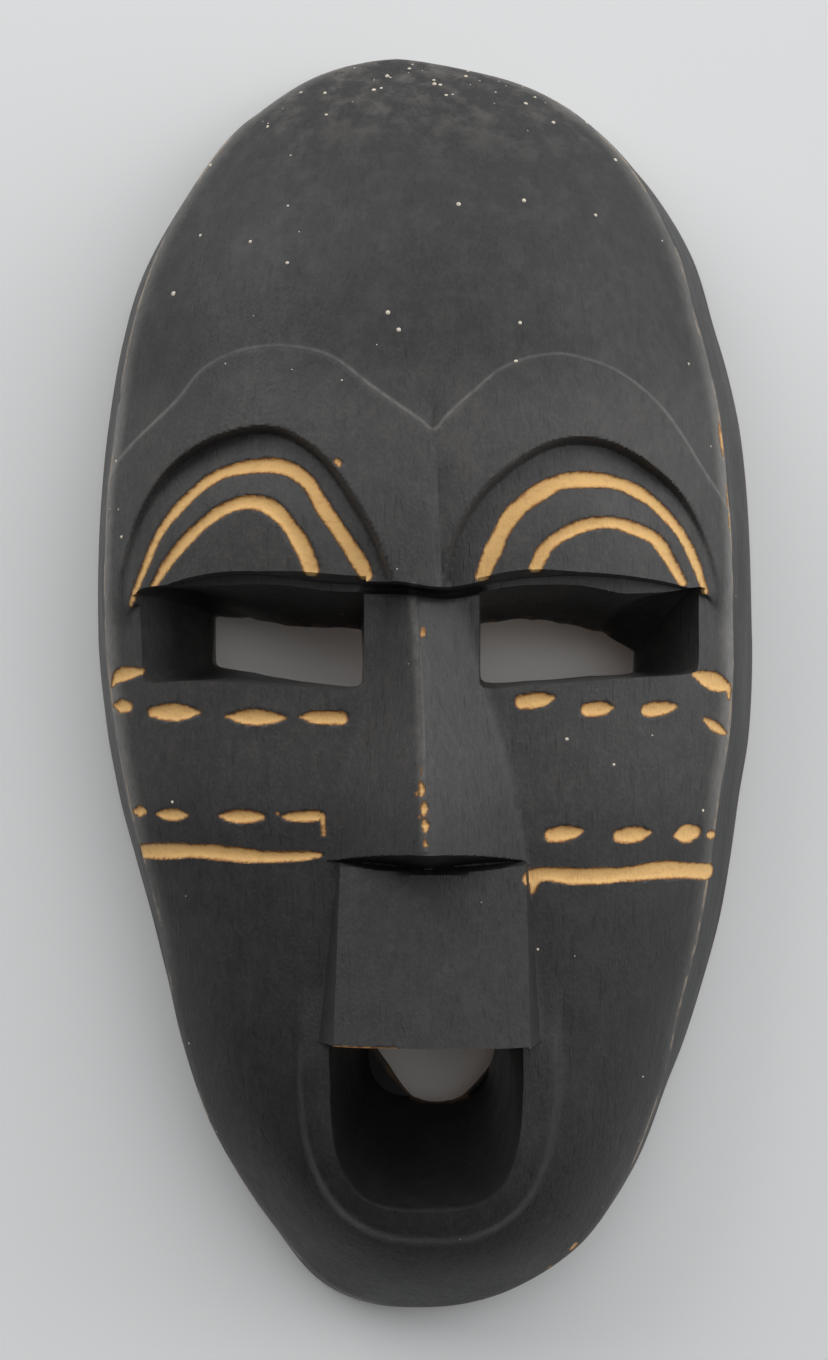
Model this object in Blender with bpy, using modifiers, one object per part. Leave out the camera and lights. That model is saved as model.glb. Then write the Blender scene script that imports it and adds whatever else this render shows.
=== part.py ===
"""Carved wooden mask that hangs on a wall, with a small D-ring hanger let into its back.

The mask is one block of wood.  Its front faces -Y, its flat back lies in the plane y = 0 against
the wall, and +Z is up.  The origin is the point where the wall nail carries the hanger ring.
Carved shapes are described on the bench: x across, z up from the chin, height out from the back.
"""

import math

import bmesh
import bpy
from mathutils import Vector

MM = 0.001

# Whole mask
HEIGHT = 200.0
WIDTH = 105.0
WIDEST_AT = 107.0
NAIL_AT = 191.0
FLARE_LEFT = 3.0
FLARE_RIGHT = 5.0
FLARE_ENDS = 2.4
CROWN_ROUNDNESS = 2.4
CHIN_ROUNDNESS = 1.5

# Profiles of the carved front, as (z, value) stations joined by a smooth curve
MIDLINE = [(0, -1.0), (14, 2.0), (60, 2.0), (110, 0.3), (165, -0.3), (186, -1.0), (200, -4.0)]
RIM_HEIGHT = [(0, 10), (30, 15), (70, 17), (140, 17), (180, 14), (200, 11)]
FACE_HEIGHT = [(0, 38), (15, 38), (41, 34.5), (72, 33.5), (100, 33), (116, 34)]
FOREHEAD_HEIGHT = [(116, 41), (126, 41.5), (150, 40), (200, 40)]
SIDE_ROUNDNESS = [(0, 4.5), (30, 3.5), (70, 1.8), (107, 1.35), (200, 1.5)]

# Eyes
BROW_EDGE = 116.0
BROW_STEP = 0.8
LID_DEPTH = 2.8
LID_ARCH_RISE = 21.5
LEFT_LID = (-46.5, -4.3)
RIGHT_LID = (2.7, 44.8)
LEFT_EYE = {"mouth": (-42.7, -8.8), "hole": (-33.0, -9.9)}
RIGHT_EYE = {"mouth": (8.1, 41.8), "hole": (9.2, 33.1)}
EYE_FRONT = (100.0, 115.2)
EYE_BACK = (100.6, 110.6)

# Nose, upper lip and mouth
NOSE_TOP = 115.6
NOSE_BOTTOM = 74.3
NOSE_RIDGE_HEIGHT = (36.5, 48.0)
NOSE_BASE_HEIGHT = 30.5
NOSE_EDGE_LEFT = [(74, -13.5), (86, -11.7), (99, -8.3), (116, -7.2)]
NOSE_EDGE_RIGHT = [(74, 14.6), (89, 12.1), (101, 9.1), (116, 6.9)]
LIP_TOP = 72.4
LIP_BOTTOM = 46.6
LIP_SIDES_TOP = (-13.1, 15.0)
LIP_SIDES_BOTTOM = (-16.2, 17.8)
LIP_HEIGHT = (36.0, 42.0)
LIP_CROWN = 1.6
MOUTH_SIDES = (-14.3, 15.6)
MOUTH_FLOOR = 20.1
MOUTH_HOLE_SIDES = (-9.5, 11.3)
MOUTH_HOLE_FLOOR = 33.0
MOUTH_ROUNDNESS = 3.0
MOUTH_FACE_HEIGHT = 30.0
MOUTH_HOLE_HEIGHT = 6.0

# Hollow back
HOLLOW_TOP = 165.0
HOLLOW_BOTTOM = 31.0
HOLLOW_HALF_WIDTH = 34.5
HOLLOW_DEPTH = 22.0
HOLLOW_LIP = 2.0

# Hanger: recess in the wood, strap, ring and screw
AXIS_DEPTH = 3.3
RECESS_WIDTH = 13.4
RECESS_REACH = 11.6
RECESS_DEPTH = 5.5
WIRE_RADIUS = 0.8
RING_HALF_WIDTH = 4.8
RING_STRAIGHT = 4.6
EYE_OUTER_RADIUS = 1.85
EYE_BORE_RADIUS = 1.1
STRAP_WIDTH = 7.0
STRAP_LENGTH = 9.6
STRAP_THICKNESS = 0.9
SCREW_DROP = 5.0
SCREW_HEAD_RADIUS = 2.4
SCREW_HEAD_HEIGHT = 1.4
SCREW_SHANK_RADIUS = 1.1
SCREW_LENGTH = 11.0
CLEARANCE = 0.3

# The ring's inner top rests on the nail, so the turning axis lies this far below the origin
RING_INNER_TOP = RING_STRAIGHT + RING_HALF_WIDTH - WIRE_RADIUS
AXIS_AT = NAIL_AT - RING_INNER_TOP

# Gouge cuts through the stain, as bench (x, z) points on the surface, and their half-widths
CUT_DEPTH = 0.7
ARC_CUTS = [
    [(-42.4, 117.8), (-39.5, 123.1), (-30.4, 131.2), (-20.5, 132.0), (-15.0, 126.3), (-9.3, 117.8)],
    [(-38.8, 117.8), (-35.0, 122.0), (-25.0, 126.9), (-19.4, 122.8), (-16.8, 117.8)],
    [(9.2, 117.8), (12.8, 124.7), (23.9, 130.3), (36.2, 125.6), (41.4, 117.8)],
    [(17.0, 117.8), (20.2, 121.9), (27.8, 124.0), (34.8, 121.6), (37.5, 117.8)],
]
ARC_HALF_WIDTH = 1.1
STRIPE_CUTS = [[(-43.0, 74.6), (-29.0, 74.2), (-15.5, 74.4)], [(16.0, 71.3), (30.0, 71.5), (44.2, 71.1)]]
STRIPE_HALF_WIDTH = 1.3
# Rows of dashes: the middle of each dash, and half its length
DASHES = [
    (-45.6, 96.7, 1.5), (-37.8, 95.7, 4.2), (-25.0, 95.1, 4.6), (-15.0, 95.1, 3.5),
    (-43.2, 80.5, 1.3), (-38.3, 80.1, 2.6), (-27.3, 80.1, 3.6), (-18.0, 80.3, 3.2),
    (16.6, 97.7, 3.0), (26.0, 96.3, 2.6), (35.7, 96.4, 2.9), (44.4, 100.0, 2.4),
    (21.0, 77.8, 3.0), (31.4, 77.4, 3.0), (40.2, 77.1, 2.3),
]
DASH_HALF_HEIGHT = 1.1

# Mesh fineness
BLANK_ROWS = 46
BLANK_COLUMNS = 26


# ---------------------------------------------------------------- shape rules


def along(stations, at):
    """Value at one height on a smooth curve through (z, value) stations."""
    if at <= stations[0][0]:
        return stations[0][1]
    if at >= stations[-1][0]:
        return stations[-1][1]
    last = len(stations) - 1

    def slope(index):
        before = stations[max(index - 1, 0)]
        after = stations[min(index + 1, last)]
        return (after[1] - before[1]) / (after[0] - before[0])

    index = max(i for i in range(last) if stations[i][0] <= at)
    (low, start), (high, end) = stations[index], stations[index + 1]
    span = high - low
    t = (at - low) / span
    rise = 3 * t * t - 2 * t**3
    ease_out = (t**3 - 2 * t * t + t) * span * slope(index)
    ease_in = (t**3 - t * t) * span * slope(index + 1)
    return start + (end - start) * rise + ease_out + ease_in


def girth(z):
    """Half-width of the mask's outline at one height, as a share of its widest."""
    if z > WIDEST_AT:
        reach = (z - WIDEST_AT) / (HEIGHT - WIDEST_AT)
        power = CROWN_ROUNDNESS
    else:
        reach = (WIDEST_AT - z) / WIDEST_AT
        power = CHIN_ROUNDNESS
    return max(0.0, 1 - reach**power) ** (1 / CROWN_ROUNDNESS)


def back_edges(z):
    half = WIDTH / 2 * girth(z)
    middle = along(MIDLINE, z)
    return middle - half, middle + half


def row_behind(z):
    """Height on the back outline that lies behind a height on the front, which is shorter."""
    return WIDEST_AT + (z - WIDEST_AT) / (1 - FLARE_ENDS / WIDEST_AT)


def front_edges(z):
    """The arris of the front, which is smaller than the back outline because the sides flare."""
    middle = along(MIDLINE, z)
    size = girth(row_behind(z))
    return middle - (WIDTH / 2 - FLARE_LEFT) * size, middle + (WIDTH / 2 - FLARE_RIGHT) * size


def dome(x, z):
    """Height of the carved front before the nose, lids, lip and openings are cut."""
    left, right = front_edges(z)
    across = abs(2 * x - left - right) / max(right - left, 1e-6)
    edge_level = girth(row_behind(z)) ** CROWN_ROUNDNESS
    level = 1 - edge_level * max(0.0, 1 - across**CROWN_ROUNDNESS)
    crest = FOREHEAD_HEIGHT if z > BROW_EDGE else FACE_HEIGHT
    rim = along(RIM_HEIGHT, z)
    return rim + (along(crest, z) - rim) * (1 - min(level, 1.0) ** along(SIDE_ROUNDNESS, z))


def rows_between(low, high, count, close_low=True, close_high=True):
    """Heights from low to high, closer together at a rounded end."""
    rows = []
    for index in range(count + 1):
        t = index / count
        if close_low and close_high:
            t = (1 - math.cos(math.pi * t)) / 2
        elif close_low:
            t = 1 - math.cos(math.pi / 2 * t)
        elif close_high:
            t = math.sin(math.pi / 2 * t)
        rows.append(low + (high - low) * t)
    return rows


# ---------------------------------------------------------------- building tools


def collection(name):
    made = bpy.data.collections.new(name)
    bpy.context.scene.collection.children.link(made)
    return made


def material(name, color, roughness, metallic=0.0):
    made = bpy.data.materials.new(name)
    made.use_nodes = True
    shader = made.node_tree.nodes["Principled BSDF"]
    shader.inputs["Base Color"].default_value = (*color, 1.0)
    shader.inputs["Roughness"].default_value = roughness
    shader.inputs["Metallic"].default_value = metallic
    return made


def bench_point(x, height, z):
    """A point on the bench, in metres in the mask's own frame."""
    return Vector((x, -height, z - NAIL_AT)) * MM


def add_object(name, mesh, home, finish):
    made = bpy.data.objects.new(name, mesh)
    mesh.materials.append(finish)
    home.objects.link(made)
    if home is cutters:
        made.hide_render = True
        made.display_type = "WIRE"
    return made


def relief_block(name, home, finish, rows, edges, low, high, columns, back_rows=None, back_edges_at=None):
    """Closed block between two reliefs: high(x, z) in front and low(x, z) behind.

    rows are the heights of its cross-cuts and edges(z) its two sides.  The back may have rows and
    sides of its own, which tapers the block.
    """
    back_rows = back_rows or rows
    back_edges_at = back_edges_at or edges
    block = bmesh.new()

    def grid(levels, sides, relief):
        lines = []
        for z in levels:
            left, right = sides(z)
            across = [left + (right - left) * j / columns for j in range(columns + 1)]
            lines.append([block.verts.new(bench_point(x, relief(x, z), z)) for x in across])
        return lines

    front = grid(rows, edges, high)
    back = grid(back_rows, back_edges_at, low)
    for i in range(len(rows) - 1):
        for j in range(columns):
            block.faces.new((front[i][j], front[i][j + 1], front[i + 1][j + 1], front[i + 1][j]))
            block.faces.new((back[i][j], back[i + 1][j], back[i + 1][j + 1], back[i][j + 1]))
        block.faces.new((front[i][0], front[i + 1][0], back[i + 1][0], back[i][0]))
        block.faces.new((front[i][-1], back[i][-1], back[i + 1][-1], front[i + 1][-1]))
    for j in range(columns):
        block.faces.new((front[0][j], back[0][j], back[0][j + 1], front[0][j + 1]))
        block.faces.new((front[-1][j], front[-1][j + 1], back[-1][j + 1], back[-1][j]))
    bmesh.ops.remove_doubles(block, verts=block.verts, dist=1e-6)
    bmesh.ops.dissolve_degenerate(block, edges=block.edges, dist=1e-7)
    bmesh.ops.triangulate(block, faces=block.faces)
    bmesh.ops.recalc_face_normals(block, faces=block.faces)
    mesh = bpy.data.meshes.new(name)
    block.to_mesh(mesh)
    block.free()
    return add_object(name, mesh, home, finish)


def carve(piece, tool, operation="DIFFERENCE"):
    cut = piece.modifiers.new(tool.name, "BOOLEAN")
    cut.operation = operation
    cut.solver = "EXACT"
    cut.object = tool


def cylinder(name, home, finish, radius, length, centre, axis, sides=24):
    shape = bmesh.new()
    bmesh.ops.create_cone(
        shape, cap_ends=True, segments=sides, radius1=radius * MM, radius2=radius * MM, depth=length * MM
    )
    turn = Vector((0, 0, 1)).rotation_difference(Vector(axis)).to_matrix()
    bmesh.ops.rotate(shape, verts=shape.verts, matrix=turn)
    bmesh.ops.translate(shape, verts=shape.verts, vec=centre)
    mesh = bpy.data.meshes.new(name)
    shape.to_mesh(mesh)
    shape.free()
    return add_object(name, mesh, home, finish)


def curve_to_mesh(curve, home, finish):
    """The solid of a bevelled curve as a mesh object, with its caps welded."""
    bpy.context.view_layer.update()
    graph = bpy.context.evaluated_depsgraph_get()
    mesh = bpy.data.meshes.new_from_object(curve.evaluated_get(graph))
    name = curve.name
    place = curve.matrix_world.copy()
    bpy.data.objects.remove(curve)
    shape = bmesh.new()
    shape.from_mesh(mesh)
    bmesh.ops.remove_doubles(shape, verts=shape.verts, dist=1e-6)
    bmesh.ops.recalc_face_normals(shape, faces=shape.faces)
    shape.to_mesh(mesh)
    shape.free()
    mesh.materials.clear()
    made = add_object(name, mesh, home, finish)
    made.matrix_world = place
    return made


# ---------------------------------------------------------------- the wooden body


def lid_edges(sides):
    left, right = sides
    middle = (left + right) / 2
    half = (right - left) / 2

    def edges(z):
        rise = min(1.0, (z - BROW_EDGE) / LID_ARCH_RISE)
        reach = half * math.sqrt(max(0.0, 1 - rise * rise))
        return middle - reach, middle + reach

    return edges


def lid_cutter(name, sides):
    """Lowers the lid below the brow inside an arch, keeping the dome's curve."""
    rows = rows_between(BROW_EDGE, BROW_EDGE + LID_ARCH_RISE, 9, close_low=False)
    rows[0] = BROW_EDGE - BROW_STEP / 2

    def floor(x, z):
        return dome(x, max(z, BROW_EDGE + 0.01)) - LID_DEPTH

    return relief_block(name, cutters, raw, rows, lid_edges(sides), floor, lambda x, z: 60.0, 12)


def eye_cutter(name, eye):
    """Tapers from the wide opening under the lid to the slot that goes right through."""
    front_rows = [EYE_FRONT[0], EYE_FRONT[1]]
    back_rows = [EYE_BACK[0], EYE_BACK[1]]
    return relief_block(
        name, cutters, raw, front_rows, lambda z: eye["mouth"],
        lambda x, z: -2.0, lambda x, z: 46.0, 1, back_rows, lambda z: eye["hole"],
    )


def nose():
    rows = [NOSE_BOTTOM, 84.0, 92.0, 100.0, 108.0, NOSE_TOP]

    def edges(z):
        return along(NOSE_EDGE_LEFT, z), along(NOSE_EDGE_RIGHT, z)

    def ridge(x, z):
        left, right = edges(z)
        off_centre = abs(2 * x - left - right) / (right - left)
        top, tip = NOSE_RIDGE_HEIGHT
        crest = tip + (top - tip) * (z - NOSE_BOTTOM) / (NOSE_TOP - NOSE_BOTTOM)
        return crest + (NOSE_BASE_HEIGHT - crest) * off_centre

    return relief_block("nose_wedge", cutters, raw, rows, edges, lambda x, z: 24.0, ridge, 2)


def upper_lip():
    rows = [LIP_BOTTOM, 55.0, 64.0, LIP_TOP + 1.0]

    def edges(z):
        t = (LIP_TOP - z) / (LIP_TOP - LIP_BOTTOM)
        return tuple(a + (b - a) * t for a, b in zip(LIP_SIDES_TOP, LIP_SIDES_BOTTOM))

    def face(x, z):
        t = (LIP_TOP - z) / (LIP_TOP - LIP_BOTTOM)
        left, right = edges(z)
        off_centre = (2 * x - left - right) / (right - left)
        return LIP_HEIGHT[0] + (LIP_HEIGHT[1] - LIP_HEIGHT[0]) * t - LIP_CROWN * off_centre**2

    return relief_block("upper_lip_block", cutters, raw, rows, edges, lambda x, z: 25.0, face, 6)


def mouth_cutter():
    """A deep U whose floor climbs to a small opening into the hollow, and which widens outwards."""
    top = LIP_BOTTOM + 0.4
    front_height = 46.0
    past_face = (front_height - MOUTH_FACE_HEIGHT) / (MOUTH_FACE_HEIGHT - MOUTH_HOLE_HEIGHT)
    half_face = (MOUTH_SIDES[1] - MOUTH_SIDES[0]) / 2
    half_hole = (MOUTH_HOLE_SIDES[1] - MOUTH_HOLE_SIDES[0]) / 2
    half_front = half_face + (half_face - half_hole) * past_face
    front_floor = MOUTH_FLOOR - (MOUTH_HOLE_FLOOR - MOUTH_FLOOR) * past_face

    def u_shape(sides, half, floor):
        middle = (sides[0] + sides[1]) / 2

        def edges(z):
            drop = (top - z) / (top - floor)
            reach = half * max(0.0, 1 - drop**MOUTH_ROUNDNESS) ** (1 / MOUTH_ROUNDNESS)
            return middle - reach, middle + reach

        return edges

    return relief_block(
        "mouth_cutter", cutters, raw, rows_between(front_floor, top, 9, close_high=False),
        u_shape(MOUTH_SIDES, half_front, front_floor),
        lambda x, z: MOUTH_HOLE_HEIGHT, lambda x, z: front_height, 8,
        rows_between(MOUTH_HOLE_FLOOR, top, 9, close_high=False),
        u_shape(MOUTH_HOLE_SIDES, half_hole, MOUTH_HOLE_FLOOR),
    )


def hollow_cutter():
    """Egg-shaped hollow, blunt above and pointed towards the chin."""
    rows = rows_between(HOLLOW_BOTTOM, HOLLOW_TOP, 18)

    def share(z):
        if z > WIDEST_AT:
            reach = (z - WIDEST_AT) / (HOLLOW_TOP - WIDEST_AT)
            return math.sqrt(max(0.0, 1 - reach**2.2))
        reach = (WIDEST_AT - z) / (WIDEST_AT - HOLLOW_BOTTOM)
        return max(0.0, 1 - reach**1.5) ** 0.7

    def edges(z):
        middle = along(MIDLINE, z)
        return middle - HOLLOW_HALF_WIDTH * share(z), middle + HOLLOW_HALF_WIDTH * share(z)

    def depth(x, z):
        left, right = edges(z)
        off_centre = abs(2 * x - left - right) / max(right - left, 1e-6)
        bowl = (1 - off_centre**3) * share(z) ** 0.7
        return HOLLOW_LIP + (HOLLOW_DEPTH - HOLLOW_LIP) * bowl

    return relief_block("hollow_cutter", cutters, raw, rows, edges, lambda x, z: -4.0, depth, 14)


def recess_cutter():
    half = RECESS_WIDTH / 2
    rows = [AXIS_AT - RECESS_REACH, AXIS_AT + RECESS_REACH]
    return relief_block(
        "hanger_recess", cutters, raw, rows, lambda z: (-half, half),
        lambda x, z: -2.0, lambda x, z: RECESS_DEPTH, 1,
    )


def surface_at(x, z):
    """Height of the finished surface under a gouge cut: lid above the brow's edge, cheek below."""
    for sides in (LEFT_LID, RIGHT_LID):
        left, right = lid_edges(sides)(max(z, BROW_EDGE))
        if z > BROW_EDGE and left < x < right:
            return dome(x, z) - LID_DEPTH
    return dome(x, z)


def groove_cutter(name, points, half_width, blunt):
    """A gouge cut along points on the surface: a tube that dips CUT_DEPTH into the wood."""
    curve = bpy.data.curves.new(name, "CURVE")
    curve.dimensions = "3D"
    curve.bevel_depth = half_width * MM
    curve.bevel_resolution = 2
    curve.use_fill_caps = True
    spline = curve.splines.new("POLY")
    spline.points.add(len(points) - 1)
    for index, (x, z) in enumerate(points):
        lift = half_width - CUT_DEPTH
        spline.points[index].co = (*bench_point(x, surface_at(x, z) + lift, z), 1.0)
        end = abs(2 * index / (len(points) - 1) - 1)
        spline.points[index].radius = 1 - (1 - blunt) * end**4
    made = bpy.data.objects.new(name, curve)
    cutters.objects.link(made)
    return curve_to_mesh(made, cutters, pale)


def smooth_path(corners, steps):
    """Points on a smooth curve through the corners."""
    xs = [(index, corner[0]) for index, corner in enumerate(corners)]
    zs = [(index, corner[1]) for index, corner in enumerate(corners)]
    spans = len(corners) - 1
    return [(along(xs, spans * k / steps), along(zs, spans * k / steps)) for k in range(steps + 1)]


def dash_cutter(name, x, z, half_length):
    """A leaf-shaped chip taken out with one stroke of the gouge."""
    leaf = bmesh.new()
    bmesh.ops.create_uvsphere(leaf, u_segments=8, v_segments=5, radius=1.0)
    size = Vector((half_length, CUT_DEPTH * 1.3, DASH_HALF_HEIGHT)) * MM
    slope = surface_at(x + half_length / 2, z) - surface_at(x - half_length / 2, z)
    turn = Vector((1, 0, 0)).rotation_difference(Vector((half_length, -slope, 0))).to_matrix()
    bmesh.ops.scale(leaf, vec=size, verts=leaf.verts)
    bmesh.ops.rotate(leaf, verts=leaf.verts, matrix=turn)
    bmesh.ops.translate(leaf, verts=leaf.verts, vec=bench_point(x, surface_at(x, z) + 0.25, z))
    bmesh.ops.recalc_face_normals(leaf, faces=leaf.faces)
    mesh = bpy.data.meshes.new(name)
    leaf.to_mesh(mesh)
    leaf.free()
    return add_object(name, mesh, cutters, pale)


def mask_body():
    crown = HEIGHT - FLARE_ENDS * (HEIGHT - WIDEST_AT) / WIDEST_AT
    rows = rows_between(FLARE_ENDS, crown, BLANK_ROWS)
    rows = sorted(rows + [BROW_EDGE - BROW_STEP / 2, BROW_EDGE + BROW_STEP / 2])
    body = relief_block(
        "mask_body", parts, stained, rows, front_edges, lambda x, z: 0.0, dome,
        BLANK_COLUMNS, [row_behind(z) for z in rows], back_edges,
    )
    carve(body, nose(), "UNION")
    carve(body, upper_lip(), "UNION")
    carve(body, lid_cutter("left_lid_cutter", LEFT_LID))
    carve(body, lid_cutter("right_lid_cutter", RIGHT_LID))
    carve(body, hollow_cutter())
    carve(body, eye_cutter("left_eye_cutter", LEFT_EYE))
    carve(body, eye_cutter("right_eye_cutter", RIGHT_EYE))
    carve(body, mouth_cutter())
    carve(body, recess_cutter())
    pilot = cylinder(
        "pilot_hole", cutters, raw, SCREW_SHANK_RADIUS + CLEARANCE, SCREW_LENGTH + 2.0,
        bench_point(0, RECESS_DEPTH + SCREW_LENGTH / 2 - 1.0, AXIS_AT - SCREW_DROP), (0, 1, 0), 16,
    )
    carve(body, pilot)
    return body


# ---------------------------------------------------------------- the hanger


def hanger_strap():
    """Steel strip rolled round the ring's straight side, with one screw hole."""
    floor = RECESS_DEPTH - CLEARANCE
    half = STRAP_WIDTH / 2
    rows = rows_between(AXIS_AT - STRAP_LENGTH, AXIS_AT - STRAP_LENGTH + half, 5, close_high=False) + [AXIS_AT]
    round_at = rows[-2]

    def edges(z):
        drop = max(0.0, (round_at - z) / half)
        reach = half * math.sqrt(max(0.0, 1 - drop * drop))
        return -reach, reach

    strap = relief_block(
        "hanger_strap", parts, steel, rows, edges,
        lambda x, z: floor - STRAP_THICKNESS, lambda x, z: floor, 2,
    )
    centre = bench_point(0, AXIS_DEPTH, AXIS_AT)
    barrel = cylinder("eye_barrel", cutters, steel, EYE_OUTER_RADIUS, STRAP_WIDTH - 0.2, centre, (1, 0, 0))
    carve(strap, barrel, "UNION")
    bore = cylinder("eye_bore", cutters, steel, EYE_BORE_RADIUS, STRAP_WIDTH * 2, centre, (1, 0, 0))
    carve(strap, bore)
    hole_centre = bench_point(0, floor, AXIS_AT - SCREW_DROP)
    hole = cylinder(
        "screw_hole", cutters, steel, SCREW_SHANK_RADIUS + CLEARANCE, 6.0, hole_centre, (0, 1, 0), 16
    )
    carve(strap, hole)
    return strap


def hanger_ring():
    """D-ring of round wire: its straight side lies in the strap's eye, on the turning axis."""
    arc_steps = 14
    outline = [(-RING_HALF_WIDTH, 0.0), (RING_HALF_WIDTH, 0.0)]
    for step in range(arc_steps + 1):
        angle = math.pi * step / arc_steps
        outline.append(
            (RING_HALF_WIDTH * math.cos(angle), RING_STRAIGHT + RING_HALF_WIDTH * math.sin(angle))
        )
    curve = bpy.data.curves.new("hanger_ring", "CURVE")
    curve.dimensions = "3D"
    curve.bevel_depth = WIRE_RADIUS * MM
    curve.bevel_resolution = 2
    spline = curve.splines.new("POLY")
    spline.use_cyclic_u = True
    spline.points.add(len(outline) - 1)
    for point, (x, z) in zip(spline.points, outline):
        point.co = (x * MM, 0.0, z * MM, 1.0)
    wire = bpy.data.objects.new("hanger_ring", curve)
    parts.objects.link(wire)
    ring = curve_to_mesh(wire, parts, steel)
    ring.location = bench_point(0, AXIS_DEPTH, AXIS_AT)
    return ring


def hanger_screw():
    """Pan-head wood screw with a straight slot."""
    seat = RECESS_DEPTH - CLEARANCE - STRAP_THICKNESS - CLEARANCE
    top = seat - SCREW_HEAD_HEIGHT
    profile = [
        (0.0, top),
        (SCREW_HEAD_RADIUS * 0.7, top + 0.1),
        (SCREW_HEAD_RADIUS, top + 0.6),
        (SCREW_HEAD_RADIUS, seat),
        (SCREW_SHANK_RADIUS, seat),
        (SCREW_SHANK_RADIUS, seat + SCREW_LENGTH - 2.5),
        (0.0, seat + SCREW_LENGTH),
    ]
    shape = bmesh.new()
    verts = [shape.verts.new((radius * MM, 0, -depth * MM)) for radius, depth in profile]
    for start, end in zip(verts, verts[1:]):
        shape.edges.new((start, end))
    mesh = bpy.data.meshes.new("hanger_screw")
    shape.to_mesh(mesh)
    shape.free()
    screw = add_object("hanger_screw", mesh, parts, steel)
    spin = screw.modifiers.new("turned", "SCREW")
    spin.axis = "Z"
    spin.steps = 20
    spin.render_steps = 20
    spin.use_merge_vertices = True
    spin.merge_threshold = 0.00001
    screw.rotation_euler = (-math.pi / 2, 0, 0)
    screw.location = bench_point(0, 0, AXIS_AT - SCREW_DROP)
    slot = bmesh.new()
    bmesh.ops.create_cube(slot, size=1.0)
    bmesh.ops.scale(slot, vec=Vector((SCREW_HEAD_RADIUS * 3, 1.4, 0.7)) * MM, verts=slot.verts)
    bmesh.ops.translate(slot, verts=slot.verts, vec=bench_point(0, top, AXIS_AT - SCREW_DROP))
    slot_mesh = bpy.data.meshes.new("driver_slot")
    slot.to_mesh(slot_mesh)
    slot.free()
    carve(screw, add_object("driver_slot", slot_mesh, cutters, steel))
    return screw


# ---------------------------------------------------------------- assembly

for old in list(bpy.data.objects):
    bpy.data.objects.remove(old, do_unlink=True)

parts = collection("carved_mask")
cutters = collection("cutters")
stained = material("black_stained_wood", (0.045, 0.044, 0.045), 0.55)
raw = material("bare_wood_inside", (0.40, 0.25, 0.13), 0.75)
pale = material("gouged_wood", (0.76, 0.47, 0.17), 0.6)
steel = material("zinc_plated_steel", (0.62, 0.62, 0.60), 0.35, 1.0)

body = mask_body()
groove_number = 0
for corners in ARC_CUTS:
    groove_number += 1
    tool = groove_cutter(f"arc_cut_{groove_number}", smooth_path(corners, 14), ARC_HALF_WIDTH, 0.6)
    carve(body, tool)
for corners in STRIPE_CUTS:
    groove_number += 1
    tool = groove_cutter(f"stripe_cut_{groove_number}", smooth_path(corners, 8), STRIPE_HALF_WIDTH, 0.4)
    carve(body, tool)
for number, (x, z, half_length) in enumerate(DASHES, 1):
    carve(body, dash_cutter(f"dash_cut_{number}", x, z, half_length))
hanger_strap()
hanger_ring()
hanger_screw()
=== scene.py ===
"""Carved wooden mask, black-stained, with pale gouge cuts and a D-ring hanger in its back.

All bench sizes are millimetres: x across, z up from the chin, height out from the flat back.
"""

import math

import bmesh
import bpy
import numpy as np
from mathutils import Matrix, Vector
from mathutils.bvhtree import BVHTree


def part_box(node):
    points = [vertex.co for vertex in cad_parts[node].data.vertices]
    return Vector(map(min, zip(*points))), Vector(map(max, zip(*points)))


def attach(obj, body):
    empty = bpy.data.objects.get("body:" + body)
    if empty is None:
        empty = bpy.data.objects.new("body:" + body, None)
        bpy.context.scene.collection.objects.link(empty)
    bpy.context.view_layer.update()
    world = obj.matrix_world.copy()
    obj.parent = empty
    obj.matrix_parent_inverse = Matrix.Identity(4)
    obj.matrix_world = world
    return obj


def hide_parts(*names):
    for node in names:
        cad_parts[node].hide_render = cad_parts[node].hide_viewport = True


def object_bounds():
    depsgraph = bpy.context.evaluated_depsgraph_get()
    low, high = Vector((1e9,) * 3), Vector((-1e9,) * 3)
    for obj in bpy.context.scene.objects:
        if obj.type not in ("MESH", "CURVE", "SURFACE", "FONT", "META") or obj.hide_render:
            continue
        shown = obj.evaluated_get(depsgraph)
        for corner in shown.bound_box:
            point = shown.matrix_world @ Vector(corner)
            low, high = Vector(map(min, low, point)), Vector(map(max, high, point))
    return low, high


bl_info = {
    "name": "Carved Wooden Mask",
    "version": (1, 0, 0),
    "blender": (4, 5, 0),
    "location": "3D View > Sidebar > Mask",
    "description": "Carves a black-stained wooden wall mask round its measured frame",
    "category": "Object",
}

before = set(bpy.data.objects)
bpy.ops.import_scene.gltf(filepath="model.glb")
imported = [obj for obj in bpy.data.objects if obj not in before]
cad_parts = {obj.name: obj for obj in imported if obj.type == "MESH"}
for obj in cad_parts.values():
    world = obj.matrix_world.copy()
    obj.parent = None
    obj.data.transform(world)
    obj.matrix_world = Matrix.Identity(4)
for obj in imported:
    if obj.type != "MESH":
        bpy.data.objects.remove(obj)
CAD_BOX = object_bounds()

MM = 0.001
TOP_Z = CAD_BOX[1][2] / MM
CHIN_Z = CAD_BOX[0][2] / MM
HEIGHT = TOP_Z - CHIN_Z
WIDTH = (CAD_BOX[1][0] - CAD_BOX[0][0]) / MM
WIDEST_AT = 107.0

# Profiles as (place, value) stations joined by a smooth curve
MIDLINE = [(0, -1.0), (14, 2.0), (60, 2.0), (110, 0.3), (165, -0.3), (186, -1.0), (200, -4.0)]
RIM_HEIGHT = [(0, 10), (30, 15), (70, 17), (140, 17), (180, 14), (200, 11)]
FACE_HEIGHT = [(0, 38), (15, 38), (41, 34.5), (72, 33.5), (100, 33), (116, 34)]
FOREHEAD_HEIGHT = [(110, 41), (126, 41.5), (150, 40), (200, 40)]
SIDE_ROUNDNESS = [(0, 4.5), (30, 3.5), (70, 1.8), (107, 1.35), (200, 1.5)]
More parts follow.
